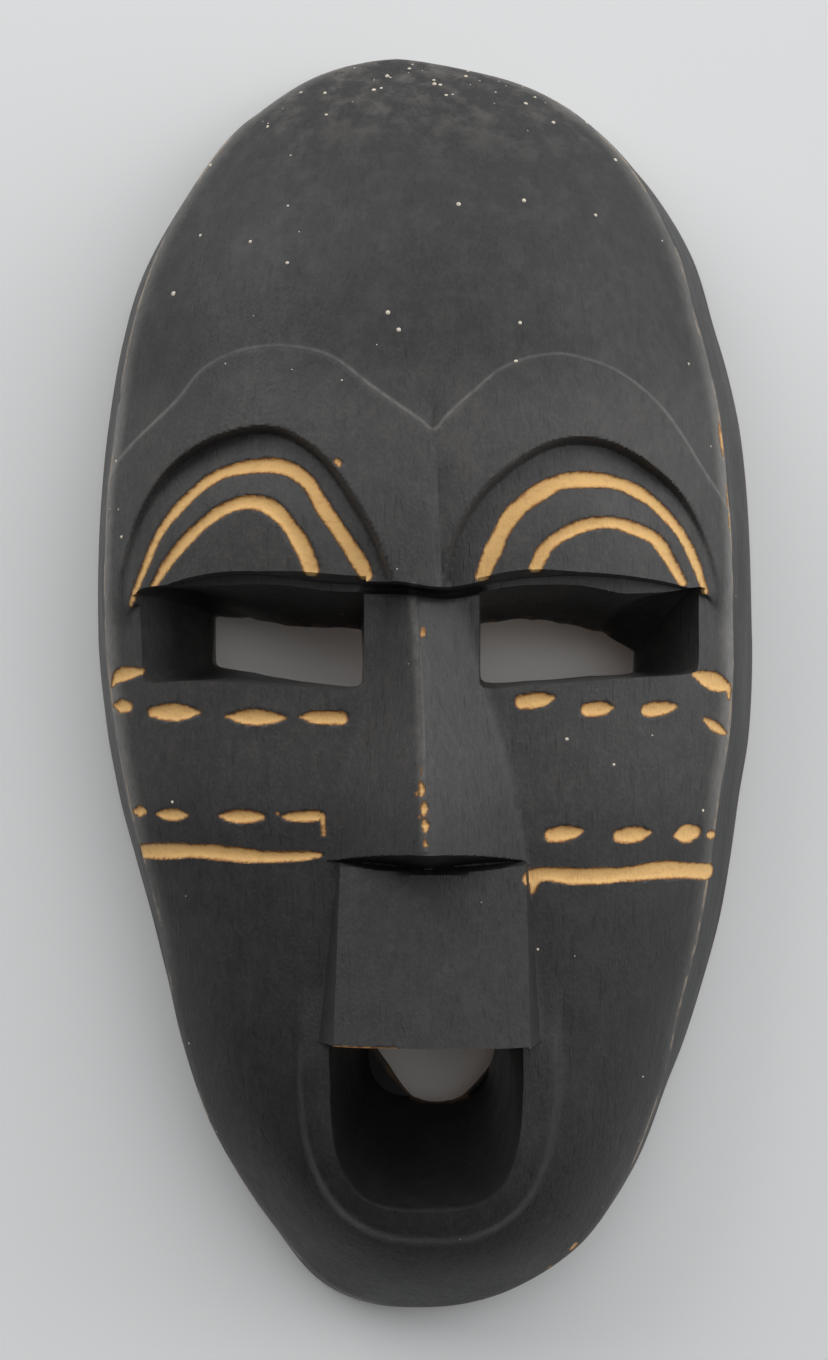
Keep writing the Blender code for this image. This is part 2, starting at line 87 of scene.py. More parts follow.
# How much is pared off the even outline on each side, or left on it
LEFT_TRIM = [
    (0, 0.1), (4, -0.3), (14, 0.1), (24, -0.2), (33, -0.5), (43, 0.1), (52, 0.5), (62, 0.8), (72, 0.5),
    (82, 0.0), (110, 0.1), (140, 0.1), (158, -0.2), (168, 0.2), (178, 1.0), (187, 1.6), (190, 2.6),
    (194, 3.2), (200, 2.8),
]
RIGHT_TRIM = [
    (0, -0.6), (4, -0.2), (14, 0.0), (24, 0.8), (33, 1.3), (43, 1.0), (52, 0.8), (62, 0.5), (72, 0.6),
    (82, 0.6), (92, 0.0), (110, 0.1), (140, -0.3), (150, 0.0), (158, 0.3), (168, -0.2), (178, 0.5),
    (188, 1.4), (192, 1.3), (194.5, 2.1), (197, 4.6), (200, 4.8),
]
# How much of the side flare is left towards the chin and the crown
LEFT_FLARE_SHARE = [
    (0, 0.2), (45, 0.4), (65, 1.0), (110, 1.0), (150, 1.0), (166, 0.9), (185, 0.7), (200, 0.6),
]
RIGHT_FLARE_SHARE = [
    (0, 0.2), (33, 0.5), (50, 1.0), (110, 1.0), (145, 1.0), (173, 0.85), (186, 0.55), (200, 0.5),
]
CROWN_ROUNDNESS = 2.4
CHIN_ROUNDNESS = 1.5

# Edge of the lids and of the brow between them, as (x, z)
LID_EDGE = [
    (-49, 110.4), (-43, 112.6), (-38, 115.0), (-32, 116.3), (-26, 116.6), (-19.5, 116.0), (-14.5, 115.3),
    (-8.6, 115.0), (-3.7, 114.9), (2.3, 114.1), (8.2, 114.9), (12, 115.6), (17.4, 116.2), (24, 116.4),
    (32, 115.8), (39, 114.7), (44.3, 113.1), (49, 111.0),
]
LEFT_ARCH = [
    (-46.6, 116.5), (-43.8, 124.8), (-39.5, 131.4), (-33.8, 135.7), (-27.6, 137.8), (-22.8, 138.1),
    (-18.9, 136.8), (-14.2, 133.2), (-10.4, 127.9), (-7.0, 122.0), (-4.4, 115.5),
]
RIGHT_ARCH = [
    (2.5, 115.0), (4.1, 121.3), (7.3, 127.1), (11.9, 131.8), (17.9, 135.5), (23.1, 136.6),
    (28.6, 135.7), (34.8, 132.4), (39.7, 127.9), (43.5, 121.4), (45.6, 115.0),
]
BROW_LINE = [
    (-50, 130.5), (-46.4, 135.3), (-37.4, 142.8), (-33.2, 147.3), (-27.8, 149.7), (-21.0, 150.3),
    (-13.7, 148.6), (-7.0, 143.6), (-0.6, 139.1), (1.5, 137.7), (3.4, 139.7), (6.8, 142.9),
    (11.9, 147.0), (19.2, 149.1), (25, 148.3), (30.1, 146.3), (36.4, 141.4), (43.7, 131.7), (50, 124.0),
]
BROW_STEP = 0.75
BROW_STEP_WIDTH = 0.7
# The upright line and the soft dip round it in the middle of the brow
BROW_VALLEY = [(114, 2.7), (126, 2.4), (138, 1.5), (146, 1.4)]
VALLEY_LINE_DEPTH = 0.45
VALLEY_LINE_WIDTH = 0.45
VALLEY_DIP_DEPTH = 0.35
VALLEY_DIP_WIDTH = 2.2
VALLEY_TOP = 144

# The step from the lids down to the cheeks, which fades out at both ends
LIDS_MIDDLE_X = -0.3
LIDS_HALF_WIDTH = 43.4
LID_STEP = 0.4
LID_STEP_SPREAD = 9.0
# The sunk lid inside each arch
LID_WALL = 1.1
LID_BULGE_SHARE = 0.3

NOSE_RIDGE_X = [(74, 0.6), (95, 0.0), (116, -1.3)]
NOSE_RIDGE_HEIGHT = [(74, 48.0), (95, 42.2), (116, 36.5)]
NOSE_LEFT = [(72, -13.7), (86, -11.7), (99, -8.3), (116, -7.0)]
NOSE_RIGHT = [(72, 14.9), (89, 12.1), (101, 9.1), (116, 6.7)]
NOSE_BOTTOM = 75.4
NOSE_WING_DROP = 1.6
NOSE_FOOT_HEIGHT = 32.0
NOSE_RIDGE_ROUNDING = 0.05
NOSE_FLANK_HOLLOW = 0.35
NOSE_TOP_GAP = 1.2
NOSE_SIDE_LIMIT = 1.05
# How steeply the nose ends below, above and beside itself
NOSE_UNDERCUT = 5.2
NOSE_TOP_SLOPE = 12
NOSE_SIDE_SLOPE = 40

# The deep crease between the brow and the top of the nose
CREASE_DROP = 0.75
CREASE_HALF_WIDTH = 0.95
CREASE_DEPTH = 2.6
CREASE_REACH = 10.0

LIP_TOP = 73.4
LIP_BOTTOM = 46.8
LIP_FACE_LEFT = [(46, -13.3), (73, -12.4)]
LIP_FACE_RIGHT = [(46, 15.6), (73, 15.2)]
LIP_FOOT_LEFT = [(46, -16.3), (73, -13.1)]
LIP_FOOT_RIGHT = [(46, 17.9), (73, 15.9)]
LIP_HEIGHT = [(46, 42.0), (60, 38.9), (73, 36.0)]
LIP_FOOT_HEIGHT = 30.0
LIP_CROWN = 1.5
LIP_TOP_ARCH = 1.2
LIP_BOTTOM_SLOPE = 25
LIP_TOP_SLOPE = 6

# The raised collar round the mouth
COLLAR_MIDDLE_X = 0.8
COLLAR_HALF_WIDTH = 19.9
COLLAR_TOP = 44.0
COLLAR_DROP = 28.6
COLLAR_ROUNDNESS = 2.6
COLLAR_HEIGHT = 1.3
COLLAR_SLOPE = 18.0
COLLAR_FADE_ABOVE = 9
COLLAR_FADE = 14


class MaskSizes(bpy.types.PropertyGroup):
    """Sizes of the carving that can be changed"""

    end_flare: bpy.props.FloatProperty(
        name="End Flare", description="How far the back stands out past the face at the chin",
        default=0.0024, min=0.0, max=0.006, unit="LENGTH",
    )
    left_flare: bpy.props.FloatProperty(
        name="Left Flare", description="How far the back stands out past the face on the left",
        default=0.003, min=0.0, max=0.01, unit="LENGTH",
    )
    right_flare: bpy.props.FloatProperty(
        name="Right Flare", description="How far the back stands out past the face on the right",
        default=0.005, min=0.0, max=0.01, unit="LENGTH",
    )
    lid_depth: bpy.props.FloatProperty(
        name="Lid Depth", description="How far the eyelids are sunk under the brow",
        default=0.0032, min=0.0, max=0.006, unit="LENGTH",
    )
    cut_depth: bpy.props.FloatProperty(
        name="Cut Depth", description="How deep the gouge cuts go through the stain",
        default=0.0007, min=0.0001, max=0.002, unit="LENGTH",
    )
    speck_size: bpy.props.FloatProperty(
        name="Speck Size", description="Radius of the largest specks of pale paint",
        default=0.00036, min=0.0001, max=0.001, unit="LENGTH",
    )
    speck_seed: bpy.props.IntProperty(
        name="Speck Seed", description="Which scatter of the pale specks is used", default=4, min=0,
    )
    wire_radius: bpy.props.FloatProperty(
        name="Ring Wire Radius", description="Half the thickness of the hanging ring's wire",
        default=0.0008, min=0.0004, max=0.001, unit="LENGTH",
    )


def colour_property(name, description, default):
    return bpy.props.FloatVectorProperty(
        name=name, description=description, default=default, size=4, min=0.0, max=1.0, subtype="COLOR",
    )


class MaskColours(bpy.types.PropertyGroup):
    """Colours of the finishes that can be changed"""

    stain: colour_property("Black Stain", "Colour of the stained wood", (0.0185, 0.018, 0.019, 1))
    stain_thin: colour_property(
        "Thin Stain", "Stain where the grain shows through", (0.042, 0.038, 0.036, 1)
    )
    fresh_cut: colour_property("Fresh Cut", "Pale wood at the bottom of a cut", (0.81, 0.50, 0.19, 1))
    cut_edge: colour_property("Cut Edge", "Wood at the rim of a cut", (0.36, 0.15, 0.04, 1))
    # The painted sheen: grey painted in as highlights along the edge, brow and nose ridge, and as lighter
    # colour on the face's middle
    painted_sheen: colour_property("Rubbed Stain", "Stain polished grey by handling", (0.20, 0.194, 0.182, 1))
    worn_edge: colour_property("Worn Edge", "Wood that shows along a rubbed edge", (0.30, 0.235, 0.17, 1))
    back_wood: colour_property("Back Wood", "Unstained wood of the back", (0.13, 0.075, 0.04, 1))
    dust: colour_property("Dust", "Pale dust on the upper wood", (0.24, 0.215, 0.19, 1))
    steel: colour_property("Steel", "Zinc-coated steel of the hanger", (0.52, 0.52, 0.51, 1))
    backdrop: colour_property("Backdrop", "Wall and floor behind the mask", (0.88, 0.89, 0.89, 1))


def sizes():
    return bpy.context.scene.mask_sizes


def colours():
    return bpy.context.scene.mask_colours


def add_object(name, mesh):
    made = bpy.data.objects.new(name, mesh)
    bpy.context.scene.collection.objects.link(made)
    return made


def along(stations, at):
    """Values on a smooth curve through (place, value) stations, for a number or an array."""
    at = np.asarray(at, float)
    places = np.array([place for place, value in stations], float)
    values = np.array([value for place, value in stations], float)
    slopes = np.gradient(values, places) if len(places) < 3 else np.empty(len(places))
    if len(places) >= 3:
        slopes[1:-1] = (values[2:] - values[:-2]) / (places[2:] - places[:-2])
        slopes[0] = (values[1] - values[0]) / (places[1] - places[0])
        slopes[-1] = (values[-1] - values[-2]) / (places[-1] - places[-2])
    inside = np.clip(at, places[0], places[-1])
    index = np.clip(np.searchsorted(places, inside, side="right") - 1, 0, len(places) - 2)
    span = places[index + 1] - places[index]
    t = (inside - places[index]) / span
    rise = 3 * t**2 - 2 * t**3
    bend = (t**3 - 2 * t**2 + t) * slopes[index] + (t**3 - t**2) * slopes[index + 1]
    return values[index] * (1 - rise) + values[index + 1] * rise + bend * span


def ease(t):
    t = np.clip(t, 0, 1)
    return t * t * (3 - 2 * t)


def wander(x, z, size, seed):
    """Slow hand-made unevenness between about -1 and 1, with bumps of one size."""
    a = seed * 1.7
    return (
        np.sin(x / size * 2.3 + a + 1.3 * np.sin(z / size * 1.1 + a))
        + np.sin(z / size * 2.9 - a + 1.7 * np.sin(x / size * 0.9 + 2 * a))
        + np.sin((x + z) / size * 1.7 + 3 * a)
    ) / 3


def girth(z):
    """Share of the full width that the even outline has at a height."""
    above = np.clip((z - WIDEST_AT) / (HEIGHT - WIDEST_AT), 0, 1) ** CROWN_ROUNDNESS
    below = np.clip((WIDEST_AT - z) / WIDEST_AT, 0, 1) ** CHIN_ROUNDNESS
    return np.clip(1 - above - below, 0, 1) ** (1 / CROWN_ROUNDNESS)


def row_behind(z):
    """Height on the back outline that lies behind a height on the front, which is shorter."""
    return WIDEST_AT + (z - WIDEST_AT) / (1 - sizes().end_flare / MM / WIDEST_AT)


def trimmed(z, size, left_half, right_half):
    """Side edges of an outline, with the uneven trimming that the carver left."""
    middle = along(MIDLINE, z)
    kept = 1 - np.exp(-size / 0.08)
    left = middle - left_half * size + along(LEFT_TRIM, z) * kept
    right = middle + right_half * size - along(RIGHT_TRIM, z) * kept
    return left, right


def back_edges(z):
    return trimmed(z, girth(z), WIDTH / 2, WIDTH / 2)


def front_edges(z):
    left_flare = sizes().left_flare / MM * along(LEFT_FLARE_SHARE, z)
    right_flare = sizes().right_flare / MM * along(RIGHT_FLARE_SHARE, z)
    return trimmed(z, girth(row_behind(z)), WIDTH / 2 - left_flare, WIDTH / 2 - right_flare)


def depth_under(stations, x, z):
    """How far a point lies under a line (x, z) stations, measured square to the line."""
    tilt = along(stations, x + 0.5) - along(stations, x - 0.5)
    return (along(stations, x) - z) / np.sqrt(1 + tilt**2)


def inside_arch(stations, x, z):
    """How far a point lies inside an arch, measured from its line or its two ends."""
    sides = np.minimum(x - stations[0][0], stations[-1][0] - x)
    return np.minimum(depth_under(stations, x, z), sides)


def either(a, b, softness=0.3):
    """The higher of two reliefs, with a soft inner corner."""
    return (a + b + np.sqrt((a - b) ** 2 + softness**2)) / 2


def dome(x, z, crest):
    """Rounded front from the rim at the side edges up to a crest in the middle."""
    left, right = front_edges(z)
    across = np.abs(2 * x - left - right) / np.maximum(right - left, 1e-6)
    fullness = girth(row_behind(z)) ** CROWN_ROUNDNESS
    level = 1 - fullness * np.clip(1 - across**CROWN_ROUNDNESS, 0, 1)
    rim = along(RIM_HEIGHT, z)
    return rim + (crest - rim) * (1 - np.clip(level, 0, 1) ** along(SIDE_ROUNDNESS, z))


def nose(x, z):
    """A wedge with a narrow ridge, which drops away steeply past its ends and sides."""
    middle = along(NOSE_RIDGE_X, z)
    left, right = along(NOSE_LEFT, z), along(NOSE_RIGHT, z)
    side = np.where(x < middle, (middle - x) / (middle - left), (x - middle) / (right - middle))
    rounded = np.sqrt(side**2 + NOSE_RIDGE_ROUNDING**2) - NOSE_RIDGE_ROUNDING
    crest = along(NOSE_RIDGE_HEIGHT, z)
    hollow = NOSE_FLANK_HOLLOW * rounded * (1 - np.clip(rounded, 0, 1))
    flank = crest - (crest - NOSE_FOOT_HEIGHT) * rounded - hollow
    under = np.maximum(0, NOSE_BOTTOM - NOSE_WING_DROP * np.minimum(side, 1) ** 2 - z)
    over = np.maximum(0, z - along(LID_EDGE, x) + NOSE_TOP_GAP)
    beyond = np.maximum(0, side - NOSE_SIDE_LIMIT)
    return flank - NOSE_UNDERCUT * under - NOSE_TOP_SLOPE * over - NOSE_SIDE_SLOPE * beyond


def upper_lip(x, z):
    """The block between the nose and the mouth, with a crowned face and slanting sides."""
    left, right = along(LIP_FACE_LEFT, z), along(LIP_FACE_RIGHT, z)
    foot_left, foot_right = along(LIP_FOOT_LEFT, z), along(LIP_FOOT_RIGHT, z)
    off_centre = (2 * x - left - right) / (right - left)
    face = along(LIP_HEIGHT, z) - LIP_CROWN * np.clip(off_centre, -1, 1) ** 2
    drop = face - LIP_FOOT_HEIGHT
    beside = np.maximum((left - x) / (left - foot_left), (x - right) / (foot_right - right))
    below = np.maximum(0, LIP_BOTTOM - z)
    above = np.maximum(0, z - LIP_TOP + LIP_TOP_ARCH * (1 - np.minimum(np.abs(off_centre), 1) ** 2))
    return face - drop * np.maximum(0, beside) - LIP_BOTTOM_SLOPE * below - LIP_TOP_SLOPE * above


def mouth_ring(x, z):
    """1 on the raised collar round the mouth, easing to 0 outside it and up beside the lip."""
    beside = np.abs((x - COLLAR_MIDDLE_X) / COLLAR_HALF_WIDTH) ** COLLAR_ROUNDNESS
    below = (np.maximum(0, COLLAR_TOP - z) / COLLAR_DROP) ** COLLAR_ROUNDNESS
    inward = (1 - (beside + below) ** (1 / COLLAR_ROUNDNESS)) * COLLAR_SLOPE
    return ease(inward) * ease((LIP_BOTTOM + COLLAR_FADE_ABOVE - z) / COLLAR_FADE)


def valley_depth(x, z):
    """Depth of the upright line in the middle of the brow, with the dip round it."""
    off = x - along(BROW_VALLEY, z)
    line = VALLEY_LINE_DEPTH * np.exp(-((off / VALLEY_LINE_WIDTH) ** 2))
    return line + VALLEY_DIP_DEPTH * np.exp(-((off / VALLEY_DIP_WIDTH) ** 2))


def lid_depth(arch, x, z):
    """How far a lid is sunk inside its arch: less towards the temples and in its middle."""
    inward = inside_arch(arch, x, z)
    fade = 0.25 + 0.75 * ease((46.0 - np.abs(x + 0.8)) / 14.0)
    bulge = 1 - LID_BULGE_SHARE * ease((inward - 2.0) / 10.0)
    return sizes().lid_depth / MM * ease(inward / LID_WALL) * fade * bulge


def crease_depth(edge, x, z):
    """Depth of the crease that undercuts the brow above the nose."""
    groove = 1 - np.abs(edge - CREASE_DROP - z) / CREASE_HALF_WIDTH
    return CREASE_DEPTH * ease(groove) * ease((CREASE_REACH - np.abs(x + 0.2)) / 3.5)


def relief(x, z):
    """Height of the carved front above the flat back."""
    edge = along(LID_EDGE, x)
    step = LID_STEP + LID_STEP_SPREAD * ease((np.abs(x - LIDS_MIDDLE_X) - LIDS_HALF_WIDTH) / 2.6)
    above = ease((z - edge) / step + 0.5)
    crest = along(FACE_HEIGHT, z) * (1 - above) + along(FOREHEAD_HEIGHT, z) * above
    height = dome(x, z, crest)
    height += BROW_STEP * ease(depth_under(BROW_LINE, x, z) / BROW_STEP_WIDTH) * above
    height -= valley_depth(x, z) * above * ease((VALLEY_TOP - z) / 5)
    for arch in (LEFT_ARCH, RIGHT_ARCH):
        height -= lid_depth(arch, x, z) * above
    height += COLLAR_HEIGHT * mouth_ring(x, z)
    height = either(height, nose(x, z))
    height = either(height, upper_lip(x, z))
    height -= crease_depth(edge, x, z)
    return height + 0.12 * wander(x, z, 9.0, 1) + 0.05 * wander(x, z, 3.5, 2)


# ---------------------------------------------------------------- mesh building


def mesh_of(name, points, faces, merge=2e-6):
    """Closed mesh from bench points (x, height, z) and faces, merged and facing out."""
    points = np.asarray(points, float)
    place = np.column_stack([points[:, 0], -points[:, 1], points[:, 2] + CHIN_Z]) * MM
    mesh = bpy.data.meshes.new(name)
    mesh.from_pydata(place.tolist(), [], [list(face) for face in faces])
    work = bmesh.new()
    work.from_mesh(mesh)
    if merge:
        bmesh.ops.remove_doubles(work, verts=work.verts, dist=merge)
        bmesh.ops.dissolve_degenerate(work, edges=work.edges, dist=1e-7)
    bmesh.ops.recalc_face_normals(work, faces=work.faces)
    work.to_mesh(mesh)
    work.free()
    return mesh


def sheet_faces(rows, columns):
    """Quads of a sheet of points, and the points' numbers by row and column."""
    index = np.arange(rows * columns).reshape(rows, columns)
    quads = np.stack([index[:-1, :-1], index[:-1, 1:], index[1:, 1:], index[1:, :-1]], axis=-1)
    return quads.reshape(-1, 4).tolist(), index


def carved_solid(
    name, rows, place_columns, high, columns, back_rows, back_edges_at, back_height, wall_steps
):
    """A relief over a region, with walls down to a flat back."""
    front_x, front_z = place_columns(np.asarray(columns), np.asarray(rows))
    front_h = high(front_x, front_z)
    back_rows = np.asarray(back_rows)
    back_left, back_right = back_edges_at(back_rows)
    fullness = np.minimum(1, girth(back_rows) * 3)[:, None]

    def wall(side, x_back):
        t = (np.arange(wall_steps) + 1) / wall_steps
        t = t**1.2
        x = front_x[:, side, None] + (x_back - front_x[:, side])[:, None] * t
        h = front_h[:, side, None] + (back_height - front_h[:, side])[:, None] * t
        z = front_z[:, side, None] + (back_rows - front_z[:, side])[:, None] * t
        if wall_steps > 1:
            outward = 1 if side else -1
            swell = np.sin(t * math.pi) * 0.35 * (0.6 + wander(h, z, 11.0, 5 + side))
            x = x + outward * swell * fullness
        return x, h, z

    left_wall, right_wall = wall(0, back_left), wall(-1, back_right)
    x = np.hstack([left_wall[0][:, ::-1], front_x, right_wall[0]])
    h = np.hstack([left_wall[1][:, ::-1], front_h, right_wall[1]])
    z = np.hstack([left_wall[2][:, ::-1], front_z, right_wall[2]])
    faces, index = sheet_faces(*x.shape)
    faces.append(index[:, 0].tolist() + index[::-1, -1].tolist())
    return mesh_of(name, np.column_stack([x.ravel(), h.ravel(), z.ravel()]), faces)


def lofted_tube(name, sections, roughness=0.0):
    """A tube through outlines [(height, points)] with flat ends; its walls get a slow unevenness."""
    points, faces = [], []
    count = len(sections[0][1])
    for height, outline in sections:
        x, z = outline[:, 0], outline[:, 1]
        x = x + roughness * wander(x + height, z, 4.0, 3)
        z = z + roughness * wander(z + height, x, 5.0, 4)
        points += np.column_stack([x, np.full(count, height), z]).tolist()
    for level in range(len(sections) - 1):
        for k in range(count):
            a, b = level * count + k, level * count + (k + 1) % count
            faces.append((a, b, b + count, a + count))
    faces.append(tuple(range(count)))
    faces.append(tuple(range(len(points) - count, len(points))))
    return mesh_of(name, points, faces, merge=0)


def traced(corners, steps, softening=2):
    """Closed outline through (x, z) corners with the same number of points on each side."""
    corners = np.array(corners, float)
    sides = []
    for start, end in zip(corners, np.roll(corners, -1, axis=0)):
        t = np.arange(steps) / steps
        sides.append(start + (end - start) * t[:, None])
    outline = np.vstack(sides)
    for _ in range(softening):
        outline = (np.roll(outline, 1, 0) + 2 * outline + np.roll(outline, -1, 0)) / 4
    return outline


def cut_away(piece, tools):
    """Carves every tool out of the piece, and leaves a plain mesh."""
    for tool in tools:
        cut = piece.modifiers.new(tool.name, "BOOLEAN")
        cut.operation = "DIFFERENCE"
        cut.solver = "MANIFOLD"
        cut.object = tool
    settle(piece)
    for tool in tools:
        bpy.data.objects.remove(tool)


def settle(piece):
    """Turns what the modifiers make into the piece's own mesh."""
    bpy.context.view_layer.update()
    graph = bpy.context.evaluated_depsgraph_get()
    mesh = bpy.data.meshes.new_from_object(piece.evaluated_get(graph))
    piece.modifiers.clear()
    old = piece.data
    piece.data = mesh
    mesh.name = piece.name
    if isinstance(old, bpy.types.Mesh):
        bpy.data.meshes.remove(old)


# ---------------------------------------------------------------- openings


# Corners of each eye's slot right through the wood, and of its opening under the lid, as (x, z)
LEFT_EYE_HOLE = [
    (-33.0, 102.7), (-9.9, 99.9), (-9.9, 104.3), (-17.7, 105.5), (-21.8, 107.6), (-27.2, 110.2),
    (-33.0, 110.9),
]
LEFT_EYE_OUTSIDE = [
    (-41.0, 100.4), (-8.7, 99.0), (-8.7, 114.5), (-18.0, 114.5), (-23.5, 114.5), (-31.0, 114.0),
    (-41.0, 112.6),
]
RIGHT_EYE_HOLE = [
    (9.2, 100.9), (33.1, 101.6), (33.1, 105.4), (28.5, 107.8), (22.8, 107.3), (17.2, 106.9),
    (9.2, 105.7),
]
RIGHT_EYE_OUTSIDE = [
    (8.1, 99.0), (40.2, 101.6), (40.2, 113.0), (34.0, 114.0), (26.0, 114.5), (18.0, 114.5),
    (8.1, 114.5),
]
# Heights at which an eye starts to open, is fully open, and is so at its outer end
EYE_DEEP = 11.0
EYE_FRONT = 36.0
EYE_OUTER_FRONT = 20.5
EYE_MIDDLE_Z = 107.0
LID_CLEARANCE = 0.25

# Heights between which the mouth widens, and its side edges and floor there
MOUTH_DEEP = 8.0
MOUTH_FRONT = 36.0
MOUTH_HOLE_SIDES = (-9.5, 11.3)
MOUTH_HOLE_FLOOR = 33.0
MOUTH_SIDES = (-14.6, 15.2)
MOUTH_FLOOR = 19.1


def eye_tool(name, hole, outside, outer):
    """A funnel from under the lid's edge back to the slot that goes right through.

    It opens sooner at the eye's outer end, which lies towards -x (outer -1) or +x (outer 1).
    """
    corner_steps = 16
    small = traced(hole, corner_steps)
    large = traced(outside, corner_steps)
    upper = ease((large[:, 1] - EYE_MIDDLE_Z) / 3.0)
    lid = along(LID_EDGE, large[:, 0]) - LID_CLEARANCE
    large[:, 1] = large[:, 1] * (1 - upper) + lid * upper
    outer_share = ease((large[:, 0] * outer - 30.0) / 10.0)[:, None]
    sections = []
    for height in np.concatenate([[-2.0, 8.0], np.linspace(EYE_DEEP, 48.0, 26)]):
        t = max(0.0, (height - EYE_DEEP) / (EYE_FRONT - EYE_DEEP))
        side = max(0.0, (height - EYE_DEEP) / (EYE_OUTER_FRONT - EYE_DEEP))
        section = small + (large - small) * min(t, 1.3)
        sooner = small + (large - small) * np.array([min(side, 1.6), min(side, 1.05)])
        sections.append((height, section * (1 - outer_share) + sooner * outer_share))
    return add_object(name, lofted_tube(name, sections, 0.12))


def mouth_outline(sides, floor, top):
    """U shape with a nearly flat floor, open side up, as one closed outline."""
    middle, half = (sides[0] + sides[1]) / 2, (sides[1] - sides[0]) / 2
    angle = np.linspace(0, math.pi, 44)
    x = middle - half * np.sign(np.cos(angle)) * np.abs(np.cos(angle)) ** 0.58
    z = top - (top - floor) * np.sin(angle) ** 0.54
    lid_x = np.linspace(x[-1], x[0], 14)[1:-1]
    return np.column_stack([np.append(x, lid_x), np.append(z, np.full(len(lid_x), top))])


def mouth_tool():
    """The mouth, from a hole in the hollow to a wide outline on the front."""
    top = LIP_BOTTOM + 0.2
    hole = mouth_outline(MOUTH_HOLE_SIDES, MOUTH_HOLE_FLOOR, top)
    face = mouth_outline(MOUTH_SIDES, MOUTH_FLOOR, top)
    sections = []
    for height in np.linspace(6.0, 50.0, 30):
        if height < MOUTH_FRONT:
            t = (height - MOUTH_DEEP) / (MOUTH_FRONT - MOUTH_DEEP)
        else:
            t = 1 + (height - MOUTH_FRONT) / 90.0
        t = math.copysign(abs(t) ** 0.8, t)
        sections.append((height, hole + (face - hole) * t))
    return add_object("mouth_tool", lofted_tube("mouth_tool", sections, 0.15))


HOLLOW_TOP = 165.0
HOLLOW_BOTTOM = 31.0
HOLLOW_HALF_WIDTH = 34.5
HOLLOW_DEPTH = 22.0
HOLLOW_LIP = 2.0


def hollow_share(z):
    """Share of the hollow's full width at a height."""
    upper = 1 - np.clip((z - WIDEST_AT) / (HOLLOW_TOP - WIDEST_AT), 0, 1) ** 2.2
    lower = 1 - np.clip((WIDEST_AT - z) / (WIDEST_AT - HOLLOW_BOTTOM), 0, 1) ** 1.5
    return np.where(z > WIDEST_AT, np.sqrt(upper), lower**0.7)


def hollow_edges(z):
    middle = along(MIDLINE, z)
    uneven = 0.5 * np.sin(z / 7.0) + 0.35 * np.sin(z / 3.1 + 1)
    half = HOLLOW_HALF_WIDTH * hollow_share(z)
    bend = np.minimum(half / 6, 1)
    return middle - half + uneven * bend, middle + half + 0.4 * np.sin(z / 5.3) * bend


def hollow_depth(x, z):
    """Bowl cut out with a gouge, whose overlapping strokes leave scallops."""
    left, right = hollow_edges(z)
    off_centre = np.abs(2 * x - left - right) / np.maximum(right - left, 1e-6)
    share = hollow_share(z)
    bowl = (1 - off_centre**3) * share**0.7
    stroke = x / 5.2 + 0.35 * np.sin(z / 11.0) + 0.2 * np.sin(z / 4.7 + x / 9.0)
    length = z / 17.0 + 0.5 * np.floor(stroke)
    scallop = (2 * (stroke % 1) - 1) ** 2 + 0.5 * (2 * (length % 1) - 1) ** 4
    return HOLLOW_LIP + (HOLLOW_DEPTH - HOLLOW_LIP) * bowl - 0.55 * scallop * np.minimum(1, bowl * 2)


def hollow_grid(columns, rows):
    z = np.repeat(rows[:, None], len(columns), axis=1)
    left, right = hollow_edges(z)
    return left + (right - left) * columns, z


def hollow_tool():
    t = (1 - np.cos(np.linspace(0, math.pi, 110))) / 2
    rows = HOLLOW_BOTTOM + (HOLLOW_TOP - HOLLOW_BOTTOM) * t
    columns = np.linspace(0, 1, 65)
    mesh = carved_solid(
        "hollow_tool", rows, hollow_grid, hollow_depth, columns, rows, hollow_edges, -3.0, 1
    )
    return add_object("hollow_tool", mesh)


def recess_tool():
    """The chiselled recess for the hanger: room for the ring as it turns about the strap's eye."""
    ring_low, ring_high = bench_box("hanger_ring")
    half_wire, side_room, reach = 0.8, 1.1, 11.6
    axis = ring_low[2] + half_wire
    half = (ring_high[0] - ring_low[0]) / 2 + side_room
    corners = [(-half, axis - reach), (half, axis - reach), (half, axis + reach), (-half, axis + reach)]
    outline = traced(corners, 10, 1)
    sections = [(height, outline) for height in (-2.0, 1.0, 3.0, 5.5)]
    return add_object("recess_tool", lofted_tube("recess_tool", sections, 0.07))


def bench_box(node):
    """Lowest and highest corner of a frame node in bench sizes (x, height, z)."""
    low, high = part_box(node)
    return (
        (low[0] / MM, -high[1] / MM, low[2] / MM - CHIN_Z),
        (high[0] / MM, -low[1] / MM, high[2] / MM - CHIN_Z),
    )


# ---------------------------------------------------------------- gouge cuts

# Each stroke is a list of (x, z, half width)
LEFT_OUTER_ARC = [
    (-44.6, 112.2, 0.4), (-42.2, 117.6, 0.6), (-39.5, 123.1, 0.7), (-35.3, 127.8, 0.85), (-30.4, 131.2, 0.9),
    (-25.0, 132.3, 1.05), (-20.5, 132.0, 1.2), (-17.2, 129.9, 1.1), (-15.0, 126.3, 1.1), (-12.0, 121.9, 1.15),
    (-9.3, 117.7, 1.2), (-8.5, 116.1, 1.0),
]
LEFT_INNER_ARC = [
    (-41.0, 114.4, 0.5), (-38.2, 118.5, 0.85), (-35.0, 122.0, 0.9), (-31.7, 124.7, 0.95), (-28.3, 126.5, 1.0),
    (-25.0, 126.9, 1.1), (-22.1, 125.8, 1.2), (-19.4, 122.8, 1.2), (-17.6, 119.8, 1.3), (-16.5, 116.9, 1.15),
]
RIGHT_OUTER_ARC = [
    (8.6, 116.0, 1.05), (10.2, 119.8, 1.25), (12.8, 124.7, 1.3), (16.4, 127.9, 1.3), (20.0, 129.8, 1.2),
    (23.9, 130.3, 1.3), (28.4, 130.0, 1.0), (32.8, 128.3, 1.0), (36.2, 125.6, 0.9), (39.0, 122.4, 0.8),
    (41.1, 118.6, 0.8), (42.8, 114.2, 0.6),
]
